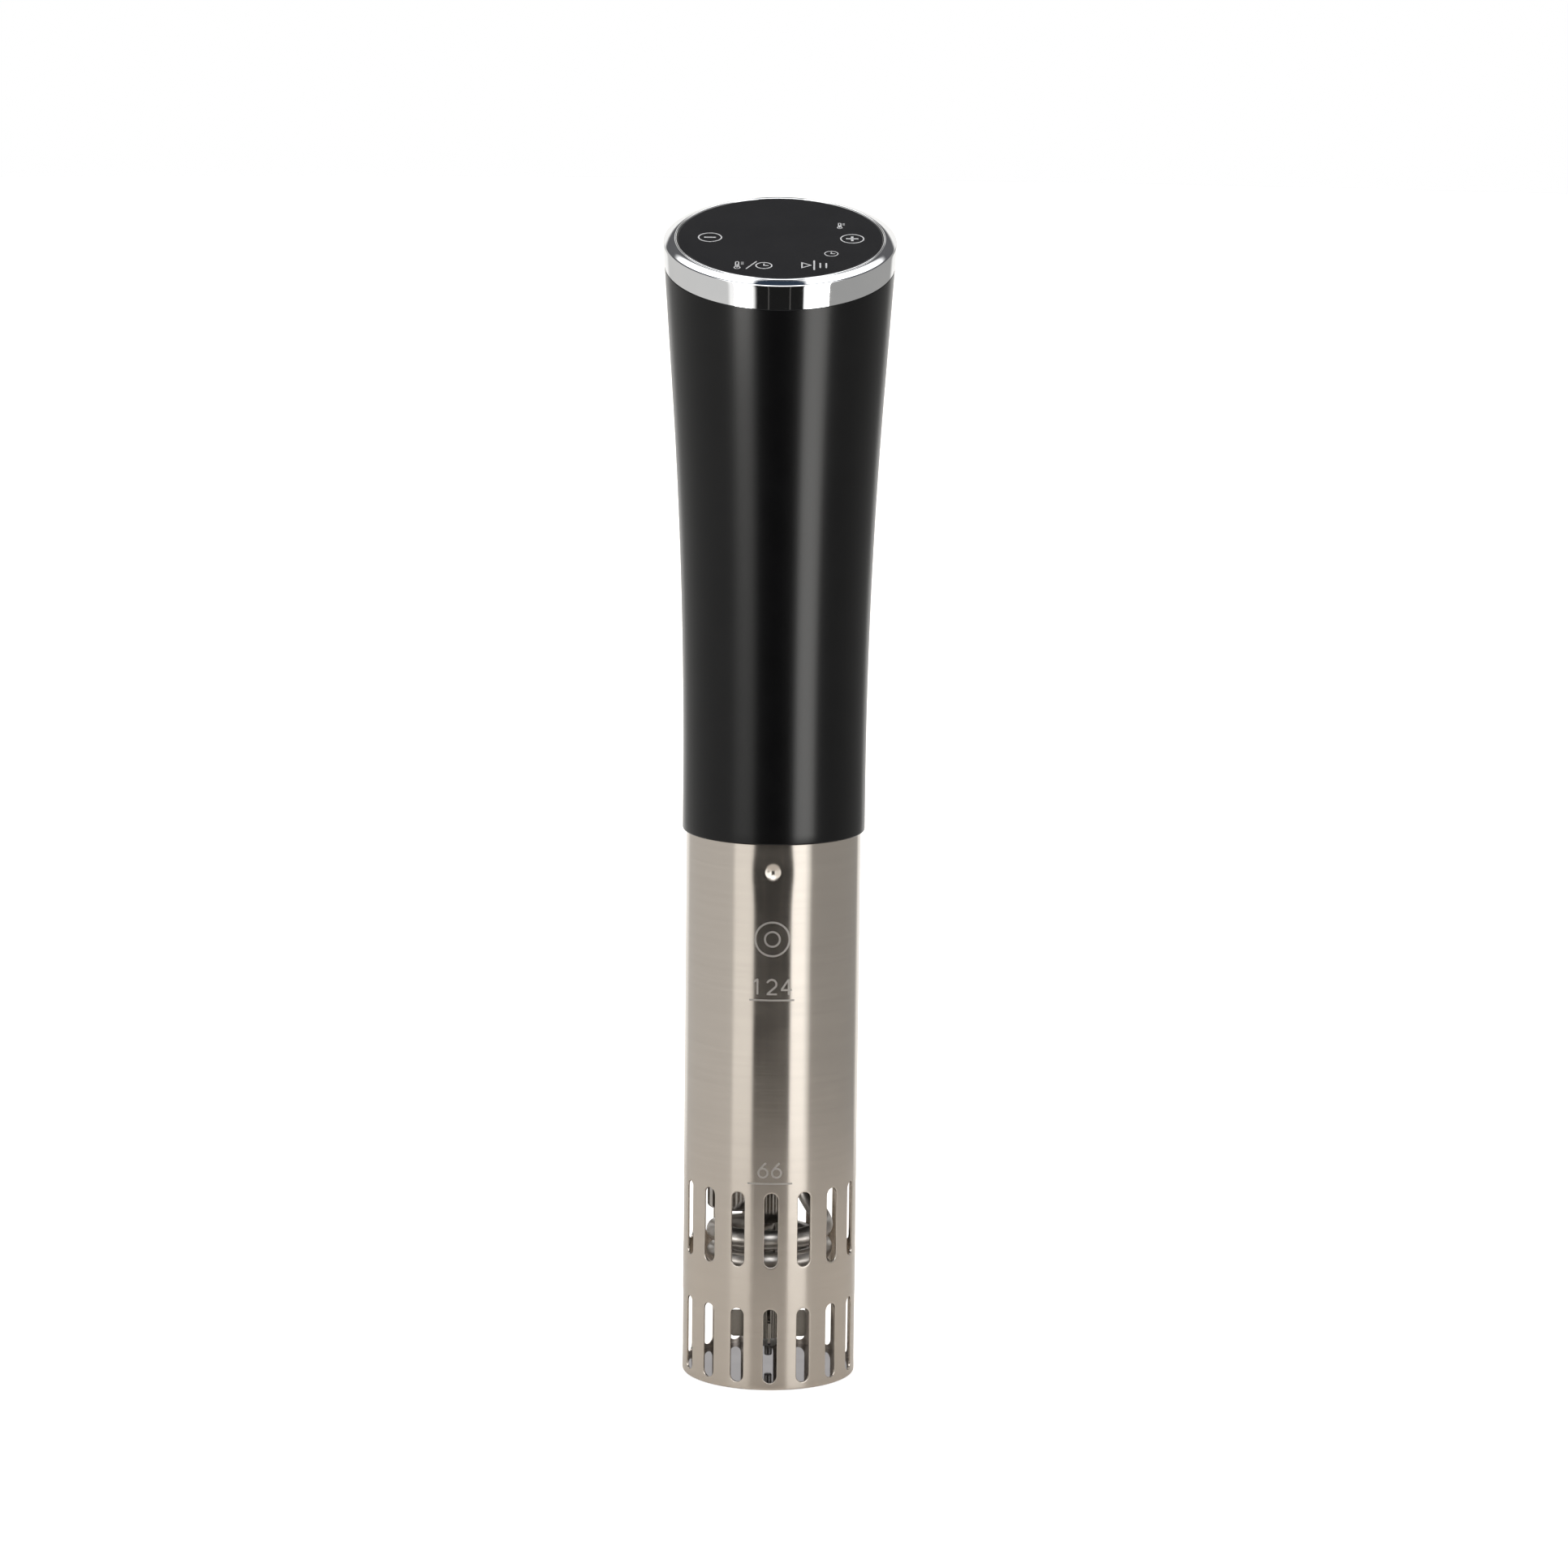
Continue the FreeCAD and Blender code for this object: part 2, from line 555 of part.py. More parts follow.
def make_electronics():
    """Parts soldered on the power board, and the leads that join the parts inside."""
    parts = {}
    core = block((-15, 1), (-12, 5), (255, 273))
    parts["transformer"] = core.fuse(block((-12.5, -1.5), (-13.5, 4), (252.5, 275.5)))
    can = cylinder(6.0, 254, 276, 11, -1.2)
    top = [edge for edge in can.Edges if abs(edge.CenterOfMass.z - 276) < 1e-3]
    parts["capacitor"] = can.makeFillet(1.0, top)
    parts["relay"] = soften(block((-17, -3), (-10, 5), (286, 306)), 0.8, BACKWARD)
    fins = block((3, 18), (2.5, 5), (284, 312))
    for index in range(5):
        left = 3 + index * 3.4
        fins = fins.fuse(block((left, left + 1.4), (-10, 2.5), (284, 312)))
    parts["heat_sink"] = fins
    parts["triac"] = block((-1.5, 2.9), (0, 5), (290, 306))
    parts["fuse"] = rod(2.6, -9, 5, -10, 317)
    parts["terminal_block"] = block((-11, 11), (6.6, 15), (300, 311))
    parts["heater_leads"] = group([
        bent_rod([LEG_A + (162.0,), LEG_A + (178.0,), (17.5, 12.0, 196.0), (17.5, 12.0, 225.0),
                  (17.0, 12.0, 250.0), (13.0, 8.2, 268.0)], 1.2),
        bent_rod([LEG_B + (162.0,), LEG_B + (172.0,), (12.5, 17.5, 193.0), (12.5, 17.5, 225.0),
                  (11.5, 15.5, 250.0), (7.0, 8.2, 268.0)], 1.2)])
    parts["motor_leads"] = group([
        bent_rod([(x, 9.0, 245.3), (x, 9.6, 252.0), (x, 8.0, 259.0)], 0.9) for x in (-5.5, -1.5)])
    parts["sensor_lead"] = bent_rod([(-10.6, 10.0, 147.0), (-10.6, 10.0, 168.0),
                                     (-15.0, 15.0, 192.0), (-15.0, 15.0, 222.0),
                                     (-14.5, 14.0, 248.0), (-12.0, 8.2, 266.0)], 1.2)
    parts["display_cable"] = bent_rod([(0.0, 4.0, 351.0), (0.0, 4.2, 343.0), (0.0, 9.0, 332.0),
                                       (0.0, 8.3, 320.0)], 1.5)
    return parts


# --- Rear: cord gland and pot clamp ----------------------------------------------------------------

def cord_gland():
    """Rubber bush in the rear wall, with a flange outside and one inside."""
    outside = rod(6.2, 30, 36, 0, GLAND_Z).cut(flared(0, 180, 380))
    inside = rod(6.0, 29.3, 34, 0, GLAND_Z).common(flared(BODY_WALL, 180, 380))
    neck = rod(4.8, 29.5, 35, 0, GLAND_Z)
    edge = [edge for edge in outside.Edges if abs(edge.CenterOfMass.y - 36) < 1e-3]
    bush = outside.makeFillet(0.7, edge).fuse([inside, neck])
    return bush.cut(rod(GLAND_BORE, 25, 40, 0, GLAND_Z))


def clamp_bracket():
    """Rear bracket: a plate on the handle, an arm over the pot's rim and a hanging leg."""
    half = CLAMP_HALF
    front, back = CLAMP_LEG
    plate = soften(block((-half, half), (20, 32.5), (CLAMP_ARM[0], 222)), 4.0, BACKWARD)
    arm = block((-half, half), (20, back), CLAMP_ARM)
    leg = block((-half, half), (front, back), (CLAMP_FOOT, CLAMP_ARM[1]))
    bracket = plate.fuse([arm, leg]).removeSplitter()
    heel = [edge for edge in bracket.Edges if abs(edge.CenterOfMass.y - back) < 1e-3
            and abs(edge.CenterOfMass.z - CLAMP_ARM[1]) < 1e-3]
    bracket = bracket.makeFillet(7.0, heel)
    elbow = [edge for edge in bracket.Edges if abs(edge.CenterOfMass.y - front) < 1e-3
             and abs(edge.CenterOfMass.z - CLAMP_ARM[0]) < 1e-3]
    bracket = bracket.makeFillet(3.0, elbow)
    foot = [edge for edge in bracket.Edges if abs(edge.CenterOfMass.z - CLAMP_FOOT) < 1e-3
            and abs(abs(edge.CenterOfMass.x) - half) < 1e-3]
    bracket = bracket.makeFillet(6.0, foot)
    boss = rod(8.5, front, back + 3, 0, SCREW_Z)
    bracket = bracket.fuse(boss).cut([flared(0, 180, 380), rod(6.0, 40, 70, 0, SCREW_Z)])
    holes = []
    for x, z in CLAMP_BOLTS:
        holes.append(rod(1.6, 20, 40, x, z))
        holes.append(rod(3.0, 30.9, 40, x, z))
    return bracket.cut(holes)


def make_clamp():
    """Pot clamp: bracket, bolts, brass nut, swivelling pad and thumbscrew."""
    front, back = CLAMP_LEG
    parts = {"clamp_bracket": clamp_bracket()}
    bolts = []
    for x, z in CLAMP_BOLTS:
        shank_front = 21.0 if z > DECK_TOP else 24.0
        bolts.append(rod(1.6, shank_front, 30.9, x, z).fuse(rod(2.8, 30.9, 33.2, x, z)))
    parts["clamp_bolts"] = group(bolts)
    thread = SCREW_R + FIT
    parts["clamp_nut"] = rod(6.0, front, back + 3, 0, SCREW_Z).cut(
        rod(thread, front - 1, back + 4, 0, SCREW_Z))
    cup_r = 2.6
    pad = rod(9.0, PAD_FACE + 1.5, front - 0.5, 0, SCREW_Z)
    pad = pad.cut(rod(cup_r + FIT, PAD_FACE + 2.4, front, 0, SCREW_Z))
    parts["clamp_pad"] = pad
    parts["pad_face"] = rod(9.0, PAD_FACE, PAD_FACE + 1.5, 0, SCREW_Z)
    nose = rod(cup_r, PAD_FACE + 2.8, front + 0.1, 0, SCREW_Z)
    shank = rod(SCREW_R, front - 0.1, KNOB_FRONT + 6, 0, SCREW_Z)
    parts["clamp_screw"] = nose.fuse(shank)
    knob = rod(11.0, KNOB_FRONT, KNOB_FRONT + 8, 0, SCREW_Z)
    knob = knob.fuse(rod(6.5, KNOB_FRONT - 3, KNOB_FRONT, 0, SCREW_Z))
    scallops = []
    for index in range(6):
        dx, dz = around(index * 60 + 30, 13.4)
        scallops.append(rod(4.2, KNOB_FRONT - 1, KNOB_FRONT + 9, dx, SCREW_Z + dz))
    knob = knob.cut(scallops)
    parts["clamp_knob"] = knob.cut(rod(SCREW_R, KNOB_FRONT - 4, KNOB_FRONT + 6, 0, SCREW_Z))
    return parts


def rear_holes():
    """Holes through the handle's rear wall for the bracket's bolts and the cord gland."""
    holes = [rod(1.6, 20, 40, x, z) for x, z in CLAMP_BOLTS]
    holes.append(rod(4.8, 20, 40, 0, GLAND_Z))
    return holes


def make_all():
    """Every node of the circulator."""
    parts = {"handle_shell": handle_shell(rear_holes()), "cord_gland": cord_gland()}
    for section in (make_head, make_skirt, make_wet_end, make_drive, make_motor, make_chassis,
                    make_electronics, make_clamp):
        parts.update(section())
    bolt_holes = [rod(1.6, 20, 40, x, z) for x, z in CLAMP_BOLTS]
    for node in ("floor_cup", "chassis"):
        parts[node] = parts[node].cut(bolt_holes)
    return parts


def main():
    """Write one STEP file per node."""
    os.makedirs("parts", exist_ok=True)
    for node, shape in make_all().items():
        solids = shape.Solids
        if not shape.isValid() or not solids:
            raise RuntimeError(node + " is not a valid solid")
        shape = solids[0] if len(solids) == 1 else Part.makeCompound(solids)
        shape.exportStep("parts/" + node + ".step")
        print(node, len(solids), round(shape.Volume))


main()
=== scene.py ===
"""Looks of the sous vide circulator: fine shells, wound heater, marks and materials.

Metres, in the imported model's frame: +Z is up, -Y is the front and the skirt stands on z = 0.
"""
import json
import math

import bmesh
import bpy
from mathutils import Euler, Matrix, Vector

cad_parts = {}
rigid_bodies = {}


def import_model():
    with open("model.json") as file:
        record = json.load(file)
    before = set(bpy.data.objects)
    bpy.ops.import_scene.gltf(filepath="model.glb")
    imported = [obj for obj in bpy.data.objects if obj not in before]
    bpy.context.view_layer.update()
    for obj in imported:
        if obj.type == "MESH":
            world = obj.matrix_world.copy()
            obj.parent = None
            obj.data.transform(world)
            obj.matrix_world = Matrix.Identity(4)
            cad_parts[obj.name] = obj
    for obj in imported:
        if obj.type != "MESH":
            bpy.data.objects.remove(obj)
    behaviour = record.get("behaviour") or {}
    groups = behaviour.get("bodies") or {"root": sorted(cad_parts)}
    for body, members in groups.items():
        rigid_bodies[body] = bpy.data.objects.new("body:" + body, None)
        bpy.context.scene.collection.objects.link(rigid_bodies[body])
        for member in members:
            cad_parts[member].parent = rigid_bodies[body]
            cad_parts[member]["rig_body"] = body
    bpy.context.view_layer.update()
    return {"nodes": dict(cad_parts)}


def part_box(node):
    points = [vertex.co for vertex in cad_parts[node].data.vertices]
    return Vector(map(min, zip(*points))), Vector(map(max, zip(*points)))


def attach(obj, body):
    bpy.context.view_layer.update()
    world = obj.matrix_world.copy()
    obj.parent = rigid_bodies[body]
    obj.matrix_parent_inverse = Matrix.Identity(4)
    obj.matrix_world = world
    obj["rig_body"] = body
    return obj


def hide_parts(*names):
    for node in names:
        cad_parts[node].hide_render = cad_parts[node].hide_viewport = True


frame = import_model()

MM = 0.001
TAU = 2 * math.pi

# Skirt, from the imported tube's own box
SKIRT_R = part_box("skirt_tube")[1].x
SKIRT_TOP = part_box("skirt_tube")[1].z
SKIRT_WALL = 0.6 * MM
SKIRT_EDGE = 0.45 * MM
SLOT_COUNT = 16
SLOT_TURN = math.radians(1.2)
SLOT_WIDTH = 4.35 * MM
SLOT_LENGTH = 23.65 * MM
SLOT_BEVEL = 0.23 * MM
SLOT_ROWS = (14.05 * MM, 51.15 * MM)
CELL_COLUMNS = 32               # mesh columns for each slot
CELL_TOP = 68.0 * MM            # the slotted part of the tube ends here
PUNCH_DEPTH = 0.022 * MM        # waviness of the thin wall near the slots
PUNCH_FADE = 14 * MM            # height over which it dies out above the slots
PUNCH_REACH = 11 * MM           # half height of the band that each row of slots pulls in
DIMPLE_Z = 164.2 * MM
DIMPLE_R = 3.1 * MM
DIMPLE_DEPTH = 1.0 * MM
DIMPLE_ANGLES = (-90, 30, 150)
DRAWN_DEPTH = 0.22 * MM         # wider hollow of drawn metal round each dimple
DRAWN_REACH = 6.5 * MM

# Handle and head
BODY_R = 28.25 * MM
BODY_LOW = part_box("handle_shell")[0].z
BODY_WALL = 2.2 * MM
FLARE_START = 187.0 * MM
FLARE_TOP = 309.0 * MM
FLARE_RADIUS = 1750.0 * MM
RECESS_R = 27.4 * MM
RECESS_TOP = 186.5 * MM
SLANT = math.radians(16.0)
SLOPE = math.tan(SLANT)
SEAM_Z = 348.0 * MM
RIM_Z = 355.2 * MM
GLASS_Z = 356.4 * MM
GLASS_R = 31.5 * MM
GLASS_THICK = 2.0 * MM

# Heater
COIL_R = 17.0 * MM
COIL_TUBE_R = 3.0 * MM
COIL_TOP = 46.4 * MM
COIL_PITCH = 7.1 * MM
COIL_EASE = 0.135
COIL_STEPS = 12
COIL_TURNS = 2.6
LEG_A = (9.2 * MM, 14.3 * MM)
LEG_B = (3.0 * MM, 9.8 * MM)
LEG_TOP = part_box("heater_coil")[1].z


# --- Mesh kit ------------------------------------------------------------------------------------

class Net:
    """Points and faces of one piece, gathered from strips of quads."""

    def __init__(self):
        self.points = []
        self.faces = []

    def strips(self, rows, closed=True, around=False):
        """Quads between rows; closed joins each row's ends, around joins last row to first."""
        first = len(self.points)
        width = len(rows[0])
        for row in rows:
            self.points.extend(row)
        for i in range(len(rows) if around else len(rows) - 1):
            here = first + i * width
            there = first + (i + 1) % len(rows) * width
            for j in range(width if closed else width - 1):
                k = (j + 1) % width
                self.faces.append((here + j, here + k, there + k, there + j))

    def cap(self, loop):
        """One face over a loop of points."""
        first = len(self.points)
        self.points.extend(loop)
        self.faces.append(tuple(range(first, first + len(loop))))

    def make(self, name, material, body, sharp=35.0, weld=1e-7):
        """The finished object, riding on a body."""
        mesh = bpy.data.meshes.new(name)
        mesh.from_pydata([tuple(point) for point in self.points], [], self.faces)
        work = bmesh.new()
        work.from_mesh(mesh)
        bmesh.ops.remove_doubles(work, verts=work.verts, dist=weld)
        bmesh.ops.dissolve_degenerate(work, edges=work.edges, dist=weld)
        bmesh.ops.recalc_face_normals(work, faces=work.faces)
        work.to_mesh(mesh)
        work.free()
        mesh.shade_smooth()
        mesh.set_sharp_from_angle(angle=math.radians(sharp))
        obj = bpy.data.objects.new(name, mesh)
        bpy.context.scene.collection.objects.link(obj)
        mesh.materials.append(material)
        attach(obj, body)
        return obj


def spread(low, high, count):
    """Evenly spaced values from low to high, both included."""
    return [low + (high - low) * i / count for i in range(count + 1)]


def arc(x, y, radius, first, last, count):
    """Points on an arc between two angles in degrees."""
    return [(x + radius * math.cos(math.radians(a)), y + radius * math.sin(math.radians(a)))
            for a in spread(first, last, count)]


def polar(angle, radius, z):
    """Point at an angle round the main axis."""
    return (radius * math.cos(angle), radius * math.sin(angle), z)


# --- Material kit --------------------------------------------------------------------------------

class Finish:
    """A node material that starts from one principled shader."""

    def __init__(self, name, colour, metallic=0.0, roughness=0.5, **fixed):
        self.material = bpy.data.materials.new(name)
        self.material.use_nodes = True
        self.tree = self.material.node_tree
        self.shader = self.tree.nodes["Principled BSDF"]
        self.set("Base Color", (*colour, 1.0))
        self.set("Metallic", metallic)
        self.set("Roughness", roughness)
        for socket, value in fixed.items():
            self.set(socket.replace("_", " "), value)

    def set(self, socket, value):
        """Give a shader input a constant, or link it to another node's output."""
        give(self.tree, self.shader.inputs[socket], value)

    def node(self, kind, settings=None, **inputs):
        """New node; inputs are constants or other nodes' outputs."""
        made = self.tree.nodes.new("ShaderNode" + kind)
        for key, value in (settings or {}).items():
            setattr(made, key, value)
        for key, value in inputs.items():
            give(self.tree, made.inputs[key.replace("_", " ")], value)
        return made

    def maths(self, operation, *inputs):
        """Result of one maths node."""
        made = self.node("Math", {"operation": operation})
        for socket, value in zip(made.inputs, inputs):
            give(self.tree, socket, value)
        return made.outputs[0]

    def place(self, stretch=(1.0, 1.0, 1.0)):
        """The piece's own coordinates in metres, stretched along each axis."""
        own = self.node("TexCoord").outputs["Object"]
        return self.node("Mapping", Vector=own, Scale=stretch).outputs["Vector"]

    def noise(self, scale, stretch=(1.0, 1.0, 1.0), detail=3.0):
        """Smooth noise with a number of features per metre."""
        return self.node("TexNoise", Vector=self.place(stretch), Scale=scale,
                         Detail=detail).outputs["Fac"]

    def between(self, fac, low, high, start=0.3, end=0.7):
        """A value from low to high as a pattern runs from start to end."""
        mapped = self.node("MapRange", Value=fac)
        limits = {"From Min": start, "From Max": end, "To Min": low, "To Max": high}
        for key, value in limits.items():
            mapped.inputs[key].default_value = value
        return mapped.outputs["Result"]

    def blend(self, fac, one, other):
        """Colour between two colours."""
        mixed = self.node("Mix", {"data_type": "RGBA"})
        factor, first, second = (mixed.inputs[i] for i in (0, 6, 7))
        give(self.tree, factor, fac)
        give(self.tree, first, (*one, 1.0))
        give(self.tree, second, (*other, 1.0))
        return mixed.outputs[2]

    def bump(self, height, depth):
        """Relief of a depth in metres."""
        relief = self.node("Bump", Height=height, Distance=depth, Strength=1.0)
        self.set("Normal", relief.outputs["Normal"])


def give(tree, socket, value):
    """Set a socket, or link it when the value is another socket."""
    if isinstance(value, bpy.types.NodeSocket):
        tree.links.new(value, socket)
    else:
        socket.default_value = value


def plain_finish(name, dark, light, rough, grain, depth, metallic=0.0):
    """Material whose colour, roughness and relief vary with one fine grain and one broad mottle."""
    finish = Finish(name, light, metallic, rough[1])
    fine = finish.noise(grain, detail=2.0)
    broad = finish.noise(90.0, detail=2.0)
    mottle = finish.between(broad, 0.0, 1.0)
    finish.set("Base Color", finish.blend(mottle, dark, light))
    finish.set("Roughness", finish.between(fine, *rough))
    finish.bump(fine, depth)
    return finish.material


def brushed_steel(name, colour, roughness):
    """Steel brushed round the main axis: fine level lines, broad faint bands and a few smudges."""
    finish = Finish(name, colour, 1.0, roughness, Anisotropic=0.88, Anisotropic_Rotation=0.25)
    tangent = finish.node("Tangent", {"direction_type": "RADIAL", "axis": "Z"})
    finish.set("Tangent", tangent.outputs[0])
    lines = finish.noise(1.0, (60.0, 60.0, 5200.0), 4.0)
    bands = finish.noise(1.0, (18.0, 18.0, 700.0), 3.0)
    smudge = finish.noise(45.0, detail=2.0)
    darker = tuple(0.965 * channel for channel in colour)
    finish.set("Base Color", finish.blend(finish.between(bands, 0.0, 1.0), darker, colour))
    even = finish.between(lines, roughness - 0.014, roughness + 0.014)
    worn = finish.between(smudge, -0.02, 0.03)
    finish.set("Roughness", finish.maths("ADD", even, worn))
    finish.bump(lines, 4.0e-7)
    return finish.material


# Slot: dark colour, light colour, roughness range, grain per metre, relief in metres, metallic
PLAIN = {
    "satin_black": ((0.0016, 0.0016, 0.0018), (0.0026, 0.0026, 0.0028), (0.21, 0.25), 5200, 1.0e-6,
                    0.0),
    "chrome": ((0.86, 0.87, 0.885), (0.90, 0.905, 0.915), (0.035, 0.06), 900, 1.0e-7, 1.0),
    "black_glass": ((0.008, 0.008, 0.009), (0.011, 0.011, 0.012), (0.09, 0.12), 2400, 1.0e-7, 0.0),
    "seal_rubber": ((0.012, 0.012, 0.012), (0.02, 0.02, 0.02), (0.62, 0.75), 3200, 6.0e-6, 0.0),
    "circuit_board": ((0.010, 0.070, 0.030), (0.016, 0.105, 0.045), (0.34, 0.48), 700, 6.0e-6, 0.0),
    "inner_plastic": ((0.055, 0.055, 0.058), (0.075, 0.075, 0.078), (0.5, 0.62), 2600, 5.0e-6, 0.0),
    "fastener_steel": ((0.42, 0.42, 0.42), (0.55, 0.55, 0.54), (0.26, 0.36), 1500, 2.0e-6, 1.0),
    "dark_component": ((0.016, 0.016, 0.018), (0.03, 0.03, 0.032), (0.45, 0.58), 2200, 5.0e-6, 0.0),
    "spring_metal": ((0.50, 0.48, 0.44), (0.62, 0.60, 0.56), (0.22, 0.32), 1800, 1.0e-6, 1.0),
    "polished_steel": ((0.50, 0.48, 0.46), (0.60, 0.58, 0.56), (0.09, 0.15), 1600, 4.0e-7, 1.0),
    "heater_metal": ((0.62, 0.59, 0.56), (0.74, 0.71, 0.68), (0.34, 0.42), 1500, 4.0e-7, 1.0),
    "impeller_steel": ((0.28, 0.265, 0.24), (0.36, 0.34, 0.31), (0.12, 0.20), 1700, 4.0e-7, 1.0),
    "plate_steel": ((0.175, 0.164, 0.176), (0.205, 0.193, 0.206), (0.05, 0.09), 1700, 2.0e-7, 1.0),
    "column_steel": ((0.24, 0.225, 0.205), (0.32, 0.30, 0.275), (0.12, 0.20), 1700, 4.0e-7, 1.0),
    "brass": ((0.62, 0.42, 0.16), (0.76, 0.54, 0.22), (0.24, 0.34), 1500, 2.0e-6, 1.0),
    "coupling_alloy": ((0.60, 0.61, 0.62), (0.72, 0.73, 0.74), (0.30, 0.40), 1600, 2.0e-6, 1.0),
    "motor_steel": ((0.30, 0.30, 0.31), (0.42, 0.42, 0.43), (0.32, 0.44), 1500, 3.0e-6, 1.0),
    "magnet": ((0.045, 0.042, 0.040), (0.075, 0.070, 0.066), (0.5, 0.65), 2000, 6.0e-6, 0.0),
    "coloured_component": ((0.55, 0.28, 0.03), (0.75, 0.40, 0.05), (0.30, 0.42), 1400, 3.0e-6, 0.0),
    "fuse_glass": ((0.55, 0.58, 0.58), (0.70, 0.72, 0.72), (0.06, 0.12), 900, 5.0e-7, 0.0),
    "wire_cover": ((0.30, 0.03, 0.02), (0.42, 0.05, 0.03), (0.40, 0.52), 1800, 3.0e-6, 0.0),
    "clamp_black": ((0.011, 0.011, 0.012), (0.019, 0.019, 0.020), (0.42, 0.52), 3000, 9.0e-6, 0.0),
    "knob_plastic": ((0.014, 0.014, 0.015), (0.022, 0.022, 0.023), (0.45, 0.55), 3000, 8.0e-6, 0.0),
    "screw_steel": ((0.46, 0.46, 0.46), (0.58, 0.58, 0.57), (0.20, 0.30), 1700, 1.0e-6, 1.0),
}


def make_materials():
    """Every slot's material, by slot name."""
    made = {slot: plain_finish(slot + "_look", *look) for slot, look in PLAIN.items()}
    satin = made["satin_black"].node_tree.nodes["Principled BSDF"]
    satin.inputs["IOR"].default_value = 1.37
    made["skirt_steel"] = brushed_steel("skirt_steel_look", (0.68, 0.62, 0.555), 0.20)
    made["etched_steel"] = plain_finish("etched_look", (0.47, 0.445, 0.42), (0.54, 0.51, 0.48),
                                        (0.50, 0.60), 2600, 3.0e-6, 1.0)
    made["symbol_white"] = plain_finish("symbol_look", (0.58, 0.58, 0.59), (0.66, 0.66, 0.67),
                                        (0.40, 0.50), 2600, 1.0e-6)
    return made


LOOKS = make_materials()
OWN_LOOKS = {"skirt_base_plate": "plate_steel", "shaft_column": "column_steel"}


def dress_cad_nodes():
    """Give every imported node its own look, or its slot's."""
    for name, node in frame["nodes"].items():
        for place in node.material_slots:
            place.material = LOOKS[OWN_LOOKS.get(name, place.material.name.split(".")[0])]


# --- Skirt ---------------------------------------------------------------------------------------

def punched(angle, z):
    """How far the thin wall stands in from true round where the slots were punched."""
    near_rows = math.exp(-(max(0.0, z - SLOT_ROWS[1]) / PUNCH_FADE) ** 2)
    ripple = math.sin(2.3 * angle + z / (9 * MM)) * math.sin(z / (6.2 * MM) + 1.3)
    at_slot = 0.5 + 0.5 * math.cos(SLOT_COUNT * (angle + math.pi / 2 - SLOT_TURN))
    at_row = sum(math.exp(-((z - row) / PUNCH_REACH) ** 4) for row in SLOT_ROWS)
    return near_rows * PUNCH_DEPTH * (0.5 + 0.5 * ripple + at_slot * at_row)


def tube_radius(angle, z):
    """Outer radius of the skirt, with the pressed dimples and the metal drawn in round them."""
    radius = SKIRT_R - punched(angle, z)
    for degrees in DIMPLE_ANGLES:
        turn = (angle - math.radians(degrees) + math.pi) % TAU - math.pi
        reach = math.hypot(turn * SKIRT_R, z - DIMPLE_Z)
        if reach < 25 * MM:
            radius -= DRAWN_DEPTH * math.exp(-(reach / DRAWN_REACH) ** 2)
        if reach < DIMPLE_R:
            radius -= DIMPLE_DEPTH * math.cos(math.pi / 2 * reach / DIMPLE_R) ** 2
    return radius


def slot_loops(grow, low, centre, high, sides=24, ends=CELL_COLUMNS):
    """Matching loops of (across, height): a cell's border, and its slot's outline plus a margin."""
    half_cell = math.pi * SKIRT_R / SLOT_COUNT
    half = SLOT_WIDTH / 2 + grow
    straight = SLOT_LENGTH / 2 - SLOT_WIDTH / 2
    border = []
    slot = []
    for i in range(sides):
        t = i / sides
        border.append((half_cell, low + t * (high - low)))
        slot.append((half, centre - straight + 2 * t * straight))
    for i in range(ends):
        t = i / ends
        turn = t * math.pi
        border.append((half_cell * (1 - 2 * t), high))
        slot.append((half * math.cos(turn), centre + straight + half * math.sin(turn)))
    for i in range(sides):
        t = i / sides
        border.append((-half_cell, high - t * (high - low)))
        slot.append((-half, centre + straight - 2 * t * straight))
    for i in range(ends):
        t = i / ends
        turn = t * math.pi
        border.append((half_cell * (2 * t - 1), low))
        slot.append((-half * math.cos(turn), centre - straight - half * math.sin(turn)))
    return border, slot


def blended(one, other, share):
    """Loop of points on the way from one loop to another."""
    return [(a[0] * (1 - share) + b[0] * share, a[1] * (1 - share) + b[1] * share)
            for a, b in zip(one, other)]


def slot_cell(net, centre_angle, low, centre, high):
    """One slot and the metal round it, outside, inside and through the wall."""

    def laid(loop, radius):
        angles = [centre_angle + across / SKIRT_R for across, _ in loop]
        return [polar(a, radius - punched(a, z), z) for a, (_, z) in zip(angles, loop)]

    border, edge = slot_loops(SLOT_BEVEL, low, centre, high)
    shares = (0.0, 0.25, 0.5, 0.75, 0.92, 1.0)
    rows = [laid(blended(border, edge, share), SKIRT_R) for share in shares]
    for step in (0.3, 0.6, 0.85, 1.0):
        drop = 1 - math.sqrt(1 - step ** 2)
        _, outline = slot_loops(SLOT_BEVEL * (1 - step), low, centre, high)
        rows.append(laid(outline, SKIRT_R - SLOT_BEVEL * drop))
    border, edge = slot_loops(0.0, low, centre, high)
    shares = (1.0, 0.5, 0.0)
    rows += [laid(blended(border, edge, share), SKIRT_R - SKIRT_WALL) for share in shares]
    net.strips(rows)


